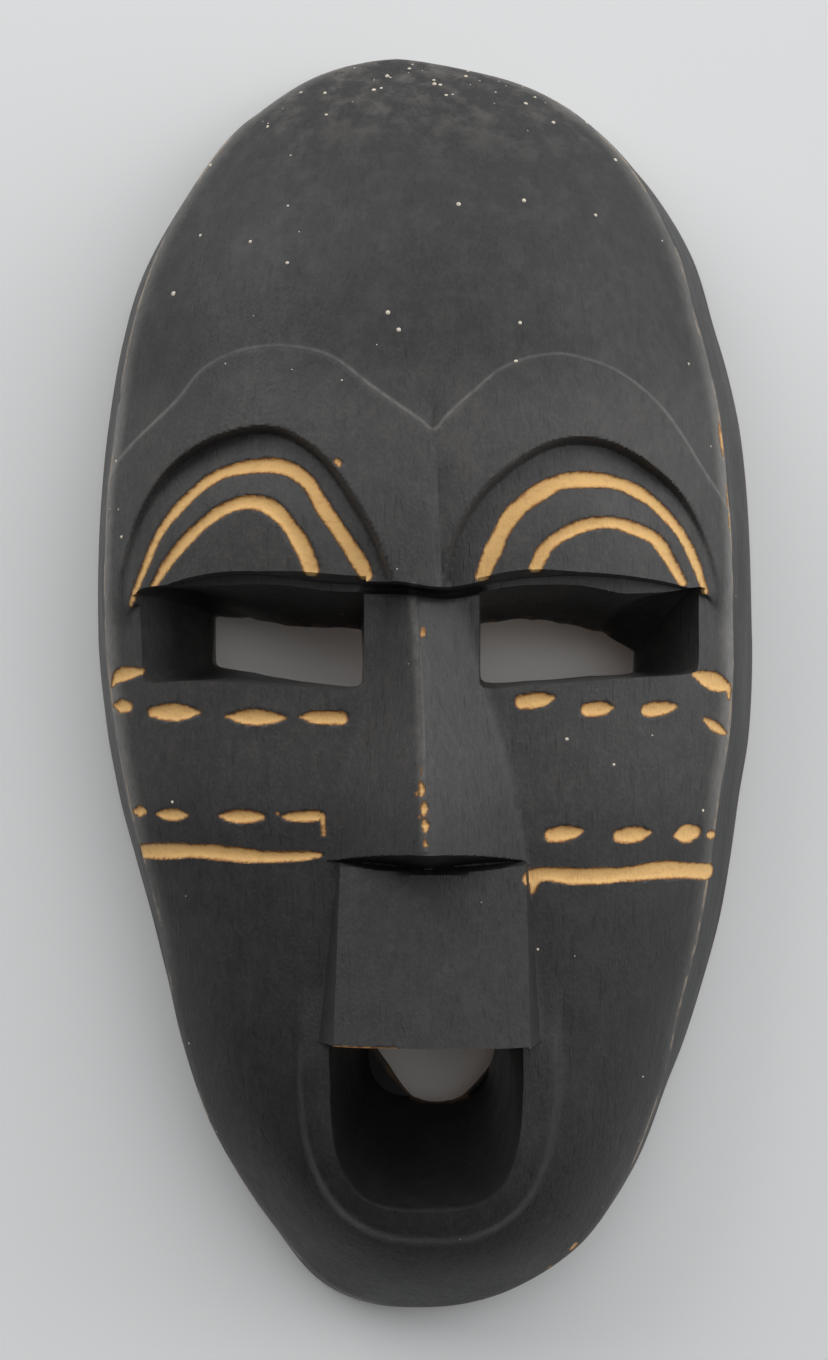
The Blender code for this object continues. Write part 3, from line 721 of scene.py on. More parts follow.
RIGHT_INNER_ARC = [
    (16.4, 117.2, 1.05), (17.8, 119.9, 1.0), (20.2, 121.9, 0.95), (23.8, 123.5, 0.95), (27.8, 124.0, 0.95),
    (31.8, 123.0, 1.0), (34.8, 121.6, 1.0), (36.9, 118.7, 0.95), (39.0, 115.4, 0.75),
]
LEFT_STRIPE = [
    (-43.0, 74.3, 1.15), (-40.0, 74.5, 1.3), (-34.0, 74.8, 1.15), (-29.0, 74.5, 1.2), (-23.5, 74.2, 0.95),
    (-18.0, 74.4, 0.75), (-15.6, 74.6, 0.45),
]
RIGHT_STRIPE = [
    (15.9, 71.2, 1.3), (18.0, 71.7, 1.1), (23.0, 71.3, 1.3), (31.0, 71.5, 1.2), (36.0, 71.9, 1.4),
    (41.0, 71.5, 1.3), (43.8, 71.1, 1.4),
]
OTHER_CUTS = [
    [(-48.0, 99.8, 0.3), (-46.6, 101.4, 1.1), (-44.6, 101.8, 0.95), (-42.8, 102.0, 0.5)],
    [(16.2, 69.2, 0.5), (16.6, 71.0, 1.0)],
    [(-15.1, 80.5, 0.45), (-14.9, 77.7, 0.35)],
    [(-21.8, 80.7, 0.3), (-21.6, 80.7, 0.3)],
    [(41.3, 101.6, 0.5), (43.2, 100.9, 1.35), (45.4, 100.1, 1.3), (46.9, 99.4, 0.7), (47.1, 97.8, 0.25)],
    [(43.1, 94.6, 0.4), (44.8, 93.5, 0.85), (46.4, 92.5, 0.45)],
    [(-0.1, 108.3, 0.25), (-0.15, 107.4, 0.45)],
    [(-0.35, 88.1, 0.12), (-0.3, 86.9, 0.22)],
    [(-0.5, 85.9, 0.25), (-0.3, 84.9, 0.5), (-0.35, 84.1, 0.35)],
    [(-1.35, 84.4, 0.2), (-1.2, 84.1, 0.25)],
    [(0.0, 82.9, 0.3), (0.05, 82.0, 0.55), (-0.1, 81.3, 0.35)],
    [(0.1, 80.3, 0.4), (0.2, 79.6, 0.6), (0.1, 78.9, 0.3)],
    [(-0.7, 81.2, 0.18), (-0.65, 80.9, 0.2)],
    [(0.15, 77.6, 0.2), (0.25, 77.0, 0.35)],
    [(-12.7, 132.6, 0.45), (-12.4, 132.3, 0.5)],
    [(19.4, 8.3, 0.3), (19.8, 9.1, 0.4)],
    [(23.0, 12.2, 0.35), (23.7, 13.0, 0.45)],
    [(-13.0, 47.0, 0.2), (-9.0, 46.9, 0.3), (-4.0, 46.9, 0.2)],
    [(45.6, 140.4, 0.15), (46.0, 138.0, 0.4), (46.3, 135.4, 0.2)],
    [(47.0, 131.2, 0.2), (47.3, 127.7, 0.45), (47.3, 124.2, 0.25)],
    [(46.7, 63.2, 0.2), (45.9, 61.4, 0.3)],
]
# Short dashes as (x from, x to, z, half height, width share at the left end, at the right end, rise)
DASHES = [
    (-47.9, -44.5, 96.7, 1.05, 0.4, 0.85, -0.1), (-42.1, -33.4, 95.8, 1.3, 0.7, 0.15, 0.0),
    (-29.9, -20.3, 95.1, 1.2, 0.2, 0.2, -0.1), (-18.6, -11.3, 95.1, 1.05, 0.2, 0.95, -0.1),
    (-44.8, -42.4, 80.5, 1.0, 0.6, 0.6, 0.0), (-41.0, -35.6, 80.2, 1.0, 0.3, 0.3, 0.0),
    (-31.0, -23.7, 80.2, 1.05, 0.25, 0.45, 0.0), (-21.3, -14.8, 80.3, 0.9, 0.35, 0.95, 0.1),
    (13.6, 19.6, 97.7, 1.2, 0.9, 0.35, 0.3), (23.5, 28.6, 96.4, 1.15, 0.9, 0.3, 0.2),
    (32.7, 38.6, 96.4, 1.1, 0.85, 0.3, 0.3), (18.0, 24.1, 77.8, 1.2, 0.9, 0.2, 0.3),
    (28.4, 34.5, 77.4, 1.2, 0.85, 0.3, 0.2), (37.9, 42.6, 77.2, 1.45, 0.35, 0.75, 0.2),
    (43.5, 45.2, 76.8, 0.8, 0.7, 0.7, 0.0),
]
STROKE_STEP = 0.2


def dash_stroke(x_from, x_to, z, half, left_share, right_share, rise):
    """A short cut, blunt where the gouge was driven in and thin where it came out."""
    start, end = x_from + half * left_share, x_to - half * right_share
    stops = np.linspace(start, end, 5)
    shares = (left_share, (left_share + 2.2) / 3, 1.0, (right_share + 2.2) / 3, right_share)
    lift = rise * np.linspace(-1, 1, 5)
    return [(x, z + up, half * min(1, share)) for x, up, share in zip(stops, lift, shares)]


def all_strokes():
    strokes = [LEFT_OUTER_ARC, LEFT_INNER_ARC, RIGHT_OUTER_ARC, RIGHT_INNER_ARC, LEFT_STRIPE, RIGHT_STRIPE]
    strokes += OTHER_CUTS
    strokes += [dash_stroke(*dash) for dash in DASHES]
    return [smooth_stroke(stroke, number) for number, stroke in enumerate(strokes)]


def smooth_stroke(stroke, number):
    """Points along a stroke every fraction of a millimetre, with a hand's small unevenness."""
    stroke = np.array(stroke, float)
    steps = np.linalg.norm(np.diff(stroke[:, :2], axis=0), axis=1)
    length = np.concatenate([[0], np.cumsum(steps)])
    at = np.linspace(0, length[-1], max(3, int(length[-1] / STROKE_STEP)))
    x, z, half = (along(list(zip(length, stroke[:, k])), at) for k in range(3))
    slow = 0.08 * wander(at, at * 0 + number, 1.9, number)
    quick = 0.03 * wander(at, at * 0, 0.8, number)
    return np.column_stack([x, z, half * (1 + slow + quick)])


def strokes_curve():
    """The strokes as one curve object on the wall plane, whose radius is the half width."""
    curve = bpy.data.curves.new("gouge_strokes", "CURVE")
    curve.dimensions = "3D"
    for stroke in all_strokes():
        spline = curve.splines.new("POLY")
        spline.points.add(len(stroke) - 1)
        for point, (x, z, half) in zip(spline.points, stroke):
            point.co = (x * MM, 0, (z + CHIN_Z) * MM, 1)
            point.radius = half * MM
    return add_object("gouge_strokes", curve)


def distance_inside_cuts(x, z):
    """How far each point lies inside the nearest stroke, in millimetres, less than 0 outside."""
    best = np.full(len(x), -50.0)
    for stroke in all_strokes():
        reach = stroke[:, 2].max() + 3
        low, high = stroke[:, :2].min(0) - reach, stroke[:, :2].max(0) + reach
        near = np.flatnonzero((x > low[0]) & (x < high[0]) & (z > low[1]) & (z < high[1]))
        if len(near):
            gap = np.hypot(x[near, None] - stroke[:, 0], z[near, None] - stroke[:, 1])
            best[near] = np.maximum(best[near], (stroke[:, 2] - gap).max(1))
    return best


class Tree:
    """Small helper that adds and joins nodes in one node tree."""

    def __init__(self, name, kind, inputs, outputs):
        self.tree = bpy.data.node_groups.new(name, kind)
        self.sockets = {}
        for label, socket, default in inputs:
            made = self.tree.interface.new_socket(label, in_out="INPUT", socket_type=socket)
            if default is not None:
                made.default_value = default
            self.sockets[label] = made.identifier
        for label, socket in outputs:
            self.tree.interface.new_socket(label, in_out="OUTPUT", socket_type=socket)
        self.source = self.tree.nodes.new("NodeGroupInput")
        self.sink = self.tree.nodes.new("NodeGroupOutput")

    def node(self, kind, settings=None, **wires):
        return place_node(self.tree, kind, settings, wires)

    def math(self, operation, a, b=0.5):
        return math_node(self.tree, operation, a, b)

    def given(self, label):
        return self.source.outputs[label]

    def give(self, label, value):
        self.tree.links.new(value, self.sink.inputs[label])


def join(tree, value, socket):
    if isinstance(value, bpy.types.NodeSocket):
        tree.links.new(value, socket)
    else:
        socket.default_value = value


def place_node(tree, kind, settings=None, wires=None):
    node = tree.nodes.new(kind)
    for name, value in (settings or {}).items():
        setattr(node, name, value)
    for name, value in (wires or {}).items():
        key = int(name[1:]) if name[0] == "i" and name[1:].isdigit() else name.replace("_", " ")
        join(tree, value, node.inputs[key])
    return node


def math_node(tree, operation, a, b=0.5):
    node = tree.nodes.new("ShaderNodeMath")
    node.operation = operation
    for socket, value in zip(node.inputs, (a, b)):
        join(tree, value, socket)
    return node.outputs[0]


def apply_tree(piece, built, values):
    """Runs a geometry tree on the piece with its inputs set, and keeps the result as plain mesh."""
    modifier = piece.modifiers.new(built.tree.name, "NODES")
    modifier.node_group = built.tree
    for label, value in values.items():
        modifier[built.sockets[label]] = value
    settle(piece)


def gouge_tree():
    """Sinks the wood along the strokes, and keeps how far inside a cut each point lies."""
    t = Tree(
        "Gouge Cuts", "GeometryNodeTree",
        [
            ("Wood", "NodeSocketGeometry", None), ("Strokes", "NodeSocketObject", None),
            ("Depth", "NodeSocketFloat", 0.0007), ("Full Width", "NodeSocketFloat", 0.0011),
            ("Spacing", "NodeSocketFloat", 0.0002), ("Front Of", "NodeSocketFloat", -0.009),
            ("Finish", "NodeSocketMaterial", None),
        ],
        [("Wood", "NodeSocketGeometry")],
    )
    strokes = t.node("GeometryNodeObjectInfo", Object=t.given("Strokes"))
    radius = t.node("GeometryNodeInputRadius")
    kept = t.node(
        "GeometryNodeStoreNamedAttribute", {"data_type": "FLOAT", "domain": "POINT"},
        Geometry=strokes.outputs["Geometry"], Name="half_width", Value=radius.outputs[0],
    )
    points = t.node(
        "GeometryNodeCurveToPoints", {"mode": "LENGTH"},
        Curve=kept.outputs[0], Length=t.given("Spacing"),
    ).outputs["Points"]
    place = t.node("GeometryNodeInputPosition").outputs[0]
    flat = t.node("ShaderNodeVectorMath", {"operation": "MULTIPLY"}, i0=place, i1=(1, 0, 1)).outputs[0]
    nearest = t.node("GeometryNodeSampleNearest", {"domain": "POINT"}, i0=points, i1=flat).outputs[0]
    centre = t.node(
        "GeometryNodeSampleIndex", {"data_type": "FLOAT_VECTOR", "domain": "POINT"},
        Geometry=points, Value=place, Index=nearest,
    ).outputs[0]
    width = t.node("GeometryNodeInputNamedAttribute", {"data_type": "FLOAT"}, Name="half_width").outputs[0]
    half = t.node(
        "GeometryNodeSampleIndex", {"data_type": "FLOAT", "domain": "POINT"},
        Geometry=points, Value=width, Index=nearest,
    ).outputs[0]
    gap = t.node("ShaderNodeVectorMath", {"operation": "DISTANCE"}, i0=flat, i1=centre).outputs["Value"]
    inside = t.math("SUBTRACT", half, gap)
    y = t.node("ShaderNodeSeparateXYZ", i0=place).outputs["Y"]
    normal = t.node("GeometryNodeInputNormal").outputs[0]
    facing = t.node("ShaderNodeSeparateXYZ", i0=normal).outputs["Y"]
    front = t.math(
        "MULTIPLY", t.math("LESS_THAN", y, t.given("Front Of")), t.math("LESS_THAN", facing, -0.3)
    )
    in_mm = t.math("MAXIMUM", t.math("MULTIPLY", inside, 1 / MM), -5.0)
    marked = t.math("SUBTRACT", t.math("MULTIPLY", t.math("ADD", in_mm, 5.0), front), 5.0)
    stored = t.node(
        "GeometryNodeStoreNamedAttribute", {"data_type": "FLOAT", "domain": "POINT"},
        Geometry=t.given("Wood"), Name="cut", Value=marked,
    ).outputs[0]
    share = t.node("ShaderNodeClamp", Value=t.math("DIVIDE", inside, half), Min=0.0, Max=1.0).outputs[0]
    section = t.math("SQRT", t.math("MULTIPLY", share, t.math("SUBTRACT", 2.0, share)))
    fullness = t.math("MINIMUM", t.math("DIVIDE", half, t.given("Full Width")), 1.0)
    depth = t.math("MULTIPLY", t.math("MULTIPLY", section, fullness), t.given("Depth"))
    depth = t.math("MULTIPLY", depth, front)
    offset = t.node("ShaderNodeCombineXYZ", Y=depth).outputs[0]
    moved = t.node("GeometryNodeSetPosition", Geometry=stored, Offset=offset).outputs[0]
    whole = t.node("GeometryNodeRealizeInstances", Geometry=moved).outputs[0]
    done = t.node("GeometryNodeSetMaterial", Geometry=whole, Material=t.given("Finish")).outputs[0]
    t.give("Wood", done)
    return t


# ---------------------------------------------------------------- the wooden face


# Closer rows at the lip's two ends and at the lids' edge, as (start, end, gap)
CLOSE_ROWS = [(46.2, 47.0, 0.1), (72.4, 76.4, 0.16), (114.6, 115.6, 0.2), (115.6, 116.4, 0.1)]
# The row that is bent to run along the lids' edge, and how far from it rows bend too
LID_ROW = 116
LID_ROW_REACH = 14


def face_rows():
    """Heights of the rows of the face, closer together at its steps and at both ends."""
    lowest = sizes().end_flare / MM
    highest = HEIGHT - lowest * (HEIGHT - WIDEST_AT) / WIDEST_AT
    ends = 0.6 * (np.arange(9) / 9) ** 2
    rows = [np.arange(lowest + 0.6, highest - 0.6, 0.56), lowest + ends, highest - ends]
    rows += [np.arange(start, end, gap) for start, end, gap in CLOSE_ROWS]
    rows = np.sort(np.concatenate(rows))
    return rows[np.concatenate([[True], np.diff(rows) > 0.005])]


def lid_row_shift(x, z):
    """Bends the rows near the lids so that one of them runs along the lids' edge."""
    share = np.clip(1 - ((z - LID_ROW) / LID_ROW_REACH) ** 2, 0, 1) ** 2
    return share * (along(LID_EDGE, x) - LID_ROW)


# Columns that run along the feet and the face edges of the lip, as shares of the width
LIP_COLUMNS = (0.3115, 0.3335, 0.669, 0.687)


def face_columns():
    """Shares of the width at which the columns stand, closer at the edges and at the lip's sides."""
    near = np.array([0.35, 0.75, 1.2]) / 96.0
    even = np.linspace(0, 1, 129)
    foot_left, left, right, foot_right = LIP_COLUMNS
    close = [np.linspace(foot_left, left, 6), np.linspace(right, foot_right, 6)]
    shares = np.sort(np.concatenate([even, near, 1 - near, *close]))
    return shares[np.concatenate([[True], np.diff(shares) > 0.001])]


def face_grid(columns, rows):
    """Places of the grid on the front, bent to follow the lids' edge and the lip's sides."""
    z = np.repeat(rows[:, None], len(columns), axis=1)
    left, right = front_edges(z)
    z = z + lid_row_shift(left + (right - left) * columns, z)
    left, right = front_edges(z)
    x = left + (right - left) * columns
    follow = ease((z - 39) / 6) * ease((83 - z) / 7)
    lip_edges = (LIP_FOOT_LEFT, LIP_FACE_LEFT, LIP_FACE_RIGHT, LIP_FOOT_RIGHT)
    lip_lines = [along(edge, z[:, 0]) for edge in lip_edges]
    lines = np.column_stack([left[:, 0], *lip_lines, right[:, -1]])
    bent = np.array([np.interp(columns, (0, *LIP_COLUMNS, 1), line) for line in lines])
    return x + (bent - x) * follow, z


def edge_gap(x, z):
    """Distance from the nearer side edge of the face."""
    left, right = front_edges(z)
    return np.minimum(x - left, right - x)


def softened_relief(x, z):
    """The relief with its outer edge rounded over."""
    rounding, drop = 1.2, 0.45
    gap = np.clip(edge_gap(x, z), 0, rounding)
    return relief(x, z) - drop * (1 - gap / rounding) ** 2


def needs_detail(x, z):
    """Where the surface turns too quickly for the plain rows and columns."""
    close = distance_inside_cuts(x, z) > -0.6
    close |= (np.abs(depth_under(BROW_LINE, x, z) - 0.35) < 0.9) & (edge_gap(x, z) > 2)
    for arch in (LEFT_ARCH, RIGHT_ARCH):
        inward = inside_arch(arch, x, z)
        close |= (inward > -0.5) & (inward < 1.3) & (z > along(LID_EDGE, x) - 0.5)
    return close


def refine_front(mesh):
    """Splits the faces that need it in two each way, and puts every front point on the relief."""
    work = bmesh.new()
    work.from_mesh(mesh)
    work.verts.ensure_lookup_table()
    x, h, z = bench_points(work.verts)
    front = np.abs(h - softened_relief(x, z)) < 1e-3
    detail = front & needs_detail(x, z)
    edges = set()
    for face in work.faces:
        corners = [vert.index for vert in face.verts]
        if len(corners) <= 4 and front[corners].all() and detail[corners].any():
            edges.update(face.edges)
    marks = work.verts.layers.float.new("front")
    for vert in work.verts:
        vert[marks] = float(front[vert.index])
    bmesh.ops.subdivide_edges(work, edges=list(edges), cuts=1, use_grid_fill=True)
    on_front = [vert for vert in work.verts if vert[marks] > 0.99]
    x, h, z = bench_points(on_front)
    for vert, height in zip(on_front, softened_relief(x, z)):
        vert.co.y = -height * MM
    work.to_mesh(mesh)
    work.free()


def bench_points(verts):
    """Bench x, height and z of mesh points, as three arrays."""
    places = np.array([vert.co for vert in verts], float) / MM
    return places[:, 0], -places[:, 1], places[:, 2] - CHIN_Z


def mark_surface(mesh):
    """Stores what the finish needs to know at every point, in millimetres except for "bare".

    "arris", "brow" and "ridge" are distances from the lines that get painted highlights, 20 or more
    meaning far; the arris also gets worn edges. "arris" is less than 0 on the side wall. "bare" is 1
    where the wood has no stain. "deep" is how far a point lies inside an opening, little of it above
    the mouth, and sets the painted shade there.
    """
    places = np.empty(len(mesh.vertices) * 3, np.float32)
    mesh.vertices.foreach_get("co", places)
    x, y, z = (places.reshape(-1, 3) / MM).T.astype(float)
    h, z = -y, z - CHIN_Z
    left, right = front_edges(z)
    rim = along(RIM_HEIGHT, z)
    outside = np.maximum(left - x, x - right)
    arris = np.minimum(np.hypot(x - left, h - rim), np.hypot(right - x, h - rim))
    on_wall = (outside > -0.2) & (h < rim - 0.5)
    arris = np.where(on_wall, -arris, arris)
    brow = np.where((z > 117) & (h > 15), depth_under(BROW_LINE, x, z), 20.0)
    on_nose = (z > 76) & (z < 115) & (np.abs(x) < 8) & (h > 30)
    ridge = np.where(on_nose, x - along(NOSE_RIDGE_X, z), 20.0)
    hollow_left, hollow_right = hollow_edges(z)
    in_hollow = (x > hollow_left - 0.3) & (x < hollow_right + 0.3) & (h < hollow_depth(x, z) + 0.4)
    in_hollow &= (z > HOLLOW_BOTTOM - 0.3) & (z < HOLLOW_TOP + 0.3)
    bare = np.where(in_hollow, 1.0, 0.0)
    bare = np.maximum(bare, 1 - np.clip(h / 1.5, 0, 1))
    through = np.clip((15.0 - h) / 8.0, 0, 1) * 0.5
    inner = edge_gap(x, z) > 9
    bare = np.maximum(bare, np.where(inner, through, 0))
    sunk = np.clip(softened_relief(x, z) - h - 0.2, 0, 10)
    in_opening = (outside < -0.8) & ~in_hollow & (h > 1)
    deep = np.where(in_opening, sunk, 0) * np.where(z < 60, 1.0, 0.1)
    marks = {
        "deep": deep, "arris": np.clip(arris, -40, 40), "bare": bare, "brow": np.clip(brow, -20, 20),
        "ridge": ridge,
    }
    for name, values in marks.items():
        made = mesh.attributes.new(name, "FLOAT", "POINT")
        made.data.foreach_set("value", values.astype(np.float32))


def shade_by_angle(piece, degrees):
    mesh = piece.data
    for polygon in mesh.polygons:
        polygon.use_smooth = True
    mesh.set_sharp_from_angle(angle=math.radians(degrees))


def carve_face():
    """The wooden mask: dome, brow, lids, nose, lip and collar, opened, hollowed and cut."""
    rows = face_rows()
    back_height, wall_steps = 0.0, 12
    mesh = carved_solid(
        "mask_wood", rows, face_grid, softened_relief, face_columns(), row_behind(rows), back_edges,
        back_height, wall_steps,
    )
    refine_front(mesh)
    piece = add_object("mask_wood", mesh)
    tools = [
        eye_tool("left_eye_tool", LEFT_EYE_HOLE, LEFT_EYE_OUTSIDE, -1),
        eye_tool("right_eye_tool", RIGHT_EYE_HOLE, RIGHT_EYE_OUTSIDE, 1),
        mouth_tool(), hollow_tool(), recess_tool(), pilot_tool(),
    ]
    cut_away(piece, tools)
    mark_surface(piece.data)
    finish = stained_wood()
    strokes = strokes_curve()
    apply_tree(
        piece, gouge_tree(),
        {"Strokes": strokes, "Depth": sizes().cut_depth, "Finish": finish},
    )
    bpy.data.objects.remove(strokes)
    shade_by_angle(piece, 40)
    give_finish(piece, finish)
    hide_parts("mask_body")
    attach(piece, "mask")


def give_finish(piece, finish):
    piece.data.materials.clear()
    piece.data.materials.append(finish)


def pilot_tool():
    """Hole for the screw's shank in the floor of the recess."""
    low, high = bench_box("hanger_screw")
    x, z = (low[0] + high[0]) / 2, (low[2] + high[2]) / 2
    radius = 1.4
    angle = np.linspace(0, 2 * math.pi, 28, endpoint=False)
    outline = np.column_stack([x + radius * np.cos(angle), z + radius * np.sin(angle)])
    sections = [(height, outline) for height in (3.0, high[1] + 1.0)]
    return add_object("pilot_tool", lofted_tube("pilot_tool", sections))


# ---------------------------------------------------------------- specks


# The larger specks, as (x, z, radius)
MAIN_SPECKS = [
    (-38.0, 159.5, 0.42), (5.2, 171.6, 0.36), (15.0, 172.5, 0.34), (26.0, 171.0, 0.28), (-34.0, 168.5, 0.26),
    (-26.0, 166.5, 0.28), (-5.3, 154.8, 0.36), (-3.7, 152.2, 0.34), (14.2, 153.4, 0.3), (-5.6, 194.2, 0.34),
    (1.7, 192.6, 0.34), (-15.2, 191.4, 0.3), (6.6, 194.4, 0.28), (20.0, 186.5, 0.32), (-33.0, 180.6, 0.3),
    (40.5, 149.0, 0.22), (-24.0, 186.0, 0.26), (17.0, 60.5, 0.22), (-46.0, 122.5, 0.26), (28.5, 88.0, 0.24),
]


def speck_seats(wood):
    """A point on the wood for each of the larger specks, with its size."""
    graph = bpy.context.evaluated_depsgraph_get()
    tree = BVHTree.FromObject(wood, graph)
    seats, reach = [], []
    for x, z, radius in MAIN_SPECKS:
        hit = tree.ray_cast(Vector((x * MM, -1.0, (z + CHIN_Z) * MM)), Vector((0, 1, 0)))[0]
        if hit is not None:
            seats.append(hit)
            reach.append(radius * MM)
    mesh = bpy.data.meshes.new("speck_seats")
    mesh.from_pydata([tuple(seat) for seat in seats], [], [])
    mesh.attributes.new("size", "FLOAT", "POINT").data.foreach_set("value", reach)
    return add_object("speck_seats", mesh)


def speck_tree():
    """Scatters flat drops of pale paint over the front, most near the top, and adds the seated ones."""
    t = Tree(
        "Paint Specks", "GeometryNodeTree",
        [
            ("Specks", "NodeSocketGeometry", None), ("Wood", "NodeSocketObject", None),
            ("Seats", "NodeSocketObject", None),
            ("Dense Above", "NodeSocketFloat", 0.0), ("Top Density", "NodeSocketFloat", 90000.0),
            ("Density", "NodeSocketFloat", 2000.0), ("Largest", "NodeSocketFloat", 0.00036),
            ("Smallest", "NodeSocketFloat", 0.0001), ("Seed", "NodeSocketInt", 4),
            ("Finish", "NodeSocketMaterial", None),
        ],
        [("Specks", "NodeSocketGeometry")],
    )
    wood = t.node("GeometryNodeObjectInfo", Object=t.given("Wood")).outputs["Geometry"]
    place = t.node("GeometryNodeInputPosition").outputs[0]
    split = t.node("ShaderNodeSeparateXYZ", i0=place)
    facing = t.node("ShaderNodeSeparateXYZ", i0=t.node("GeometryNodeInputNormal").outputs[0]).outputs["Y"]
    above = t.node(
        "ShaderNodeMapRange", Value=split.outputs["Z"], i1=t.given("Dense Above"),
        i2=t.math("ADD", t.given("Dense Above"), 0.012),
    ).outputs[0]
    density = t.math("ADD", t.given("Density"), t.math("MULTIPLY", above, t.given("Top Density")))
    density = t.math("MULTIPLY", density, t.math("LESS_THAN", facing, -0.2))
    density = t.math("MULTIPLY", density, t.math("LESS_THAN", split.outputs["Y"], -0.012))
    scattered = t.node(
        "GeometryNodeDistributePointsOnFaces", {"distribute_method": "RANDOM"},
        Mesh=wood, Density=density, Seed=t.given("Seed"),
    )
    drop = t.node("GeometryNodeMeshIcoSphere", Radius=1.0, Subdivisions=2).outputs[0]
    chance = t.node(
        "FunctionNodeRandomValue", {"data_type": "FLOAT"}, Seed=t.given("Seed"),
    ).outputs[1]
    size = t.node(
        "ShaderNodeMapRange", Value=t.math("POWER", chance, 2.6), i3=t.given("Smallest"),
        i4=t.given("Largest"),
    ).outputs[0]
    flattened = t.node(
        "ShaderNodeCombineXYZ", X=size, Y=t.math("MULTIPLY", size, 0.85), Z=t.math("MULTIPLY", size, 0.4),
    )
    placed = t.node(
        "GeometryNodeInstanceOnPoints", Points=scattered.outputs["Points"], Instance=drop,
        Rotation=scattered.outputs["Rotation"], Scale=flattened.outputs[0],
    ).outputs[0]
    seats = t.node("GeometryNodeObjectInfo", Object=t.given("Seats")).outputs["Geometry"]
    points = t.node("GeometryNodeMeshToPoints", Mesh=seats).outputs[0]
    own_size = t.node("GeometryNodeInputNamedAttribute", {"data_type": "FLOAT"}, Name="size").outputs[0]
    own_scale = t.node("ShaderNodeCombineXYZ", X=own_size, Y=t.math("MULTIPLY", own_size, 0.5), Z=own_size)
    seated = t.node(
        "GeometryNodeInstanceOnPoints", Points=points, Instance=drop, Scale=own_scale.outputs[0]
    ).outputs[0]
    both = t.tree.nodes.new("GeometryNodeJoinGeometry")
    t.tree.links.new(placed, both.inputs[0])
    t.tree.links.new(seated, both.inputs[0])
    whole = t.node("GeometryNodeRealizeInstances", Geometry=both.outputs[0]).outputs[0]
    done = t.node("GeometryNodeSetMaterial", Geometry=whole, Material=t.given("Finish")).outputs[0]
    t.give("Specks", done)
    return t


def scatter_specks(wood):
    piece = add_object("paint_specks", bpy.data.meshes.new("paint_specks"))
    finish = speck_paint()
    seats = speck_seats(wood)
    apply_tree(
        piece, speck_tree(),
        {
            "Wood": wood, "Seats": seats, "Dense Above": (TOP_Z - 14.0) * MM, "Largest": sizes().speck_size,
            "Seed": sizes().speck_seed, "Finish": finish,
        },
    )
    bpy.data.objects.remove(seats)
    if len(piece.data.polygons) == 0:
        raise RuntimeError("no specks were scattered")
    shade_by_angle(piece, 60)
    give_finish(piece, finish)
    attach(piece, "mask")


# ---------------------------------------------------------------- the hanger


def wire_tree():
    """A round wire that follows a path."""
    t = Tree(
        "Bent Wire", "GeometryNodeTree",
        [
            ("Wire", "NodeSocketGeometry", None), ("Path", "NodeSocketObject", None),
            ("Radius", "NodeSocketFloat", 0.0008), ("Sides", "NodeSocketInt", 20),
            ("Finish", "NodeSocketMaterial", None),
        ],
        [("Wire", "NodeSocketGeometry")],
    )
    path = t.node("GeometryNodeObjectInfo", Object=t.given("Path")).outputs["Geometry"]
    circle = t.node(
        "GeometryNodeCurvePrimitiveCircle", Resolution=t.given("Sides"), Radius=t.given("Radius")
    )
    tube = t.node("GeometryNodeCurveToMesh", Curve=path, Profile_Curve=circle.outputs[0]).outputs[0]
    whole = t.node("GeometryNodeRealizeInstances", Geometry=tube).outputs[0]
    done = t.node("GeometryNodeSetMaterial", Geometry=whole, Material=t.given("Finish")).outputs[0]
    t.give("Wire", done)
    return t


def ring_path():
    """The closed D: a bar through the strap's eye, two short sides and a half circle."""
    low, high = bench_box("hanger_ring")
    wire = sizes().wire_radius / MM
    middle, height = (low[0] + high[0]) / 2, (low[1] + high[1]) / 2
    half = (high[0] - low[0]) / 2 - wire
    bar, arc = low[2] + wire, high[2] - wire - half
    angle = np.linspace(0, math.pi, 41)
    points = [(middle + half * math.cos(a), arc + half * math.sin(a)) for a in angle]
    corner, bar_end = 0.9, 1.4
    bend = np.linspace(0, math.pi / 2, 8)
    points += [
        (middle - half + corner * (1 - math.cos(a)), bar + corner * (1 - math.sin(a))) for a in bend
    ]
    points += [(middle + t, bar) for t in np.linspace(-half + bar_end, half - bar_end, 9)]
    points += [
        (middle + half - corner * (1 - math.sin(a)), bar + corner * (1 - math.cos(a))) for a in bend
    ]
    curve = bpy.data.curves.new("ring_path", "CURVE")
    curve.dimensions = "3D"
    spline = curve.splines.new("POLY")
    spline.points.add(len(points) - 1)
    for point, (x, z) in zip(spline.points, points):
        point.co = (x * MM, -height * MM, (z + CHIN_Z) * MM, 1)
    spline.use_cyclic_u = True
    return add_object("ring_path", curve)


def bend_ring():
    path = ring_path()
    piece = add_object("ring_wire", bpy.data.meshes.new("ring_wire"))
    finish = zinc_steel()
    apply_tree(piece, wire_tree(), {"Path": path, "Radius": sizes().wire_radius, "Finish": finish})
    bpy.data.objects.remove(path)
    face_outwards(piece.data)
    shade_by_angle(piece, 60)
    give_finish(piece, finish)
    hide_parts("hanger_ring")
    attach(piece, "ring")


def face_outwards(mesh):
    """Merges points that coincide and turns every face outwards."""
    work = bmesh.new()
    work.from_mesh(mesh)
    bmesh.ops.remove_doubles(work, verts=work.verts, dist=2e-6)
    bmesh.ops.recalc_face_normals(work, faces=work.faces)
    work.to_mesh(mesh)
    work.free()


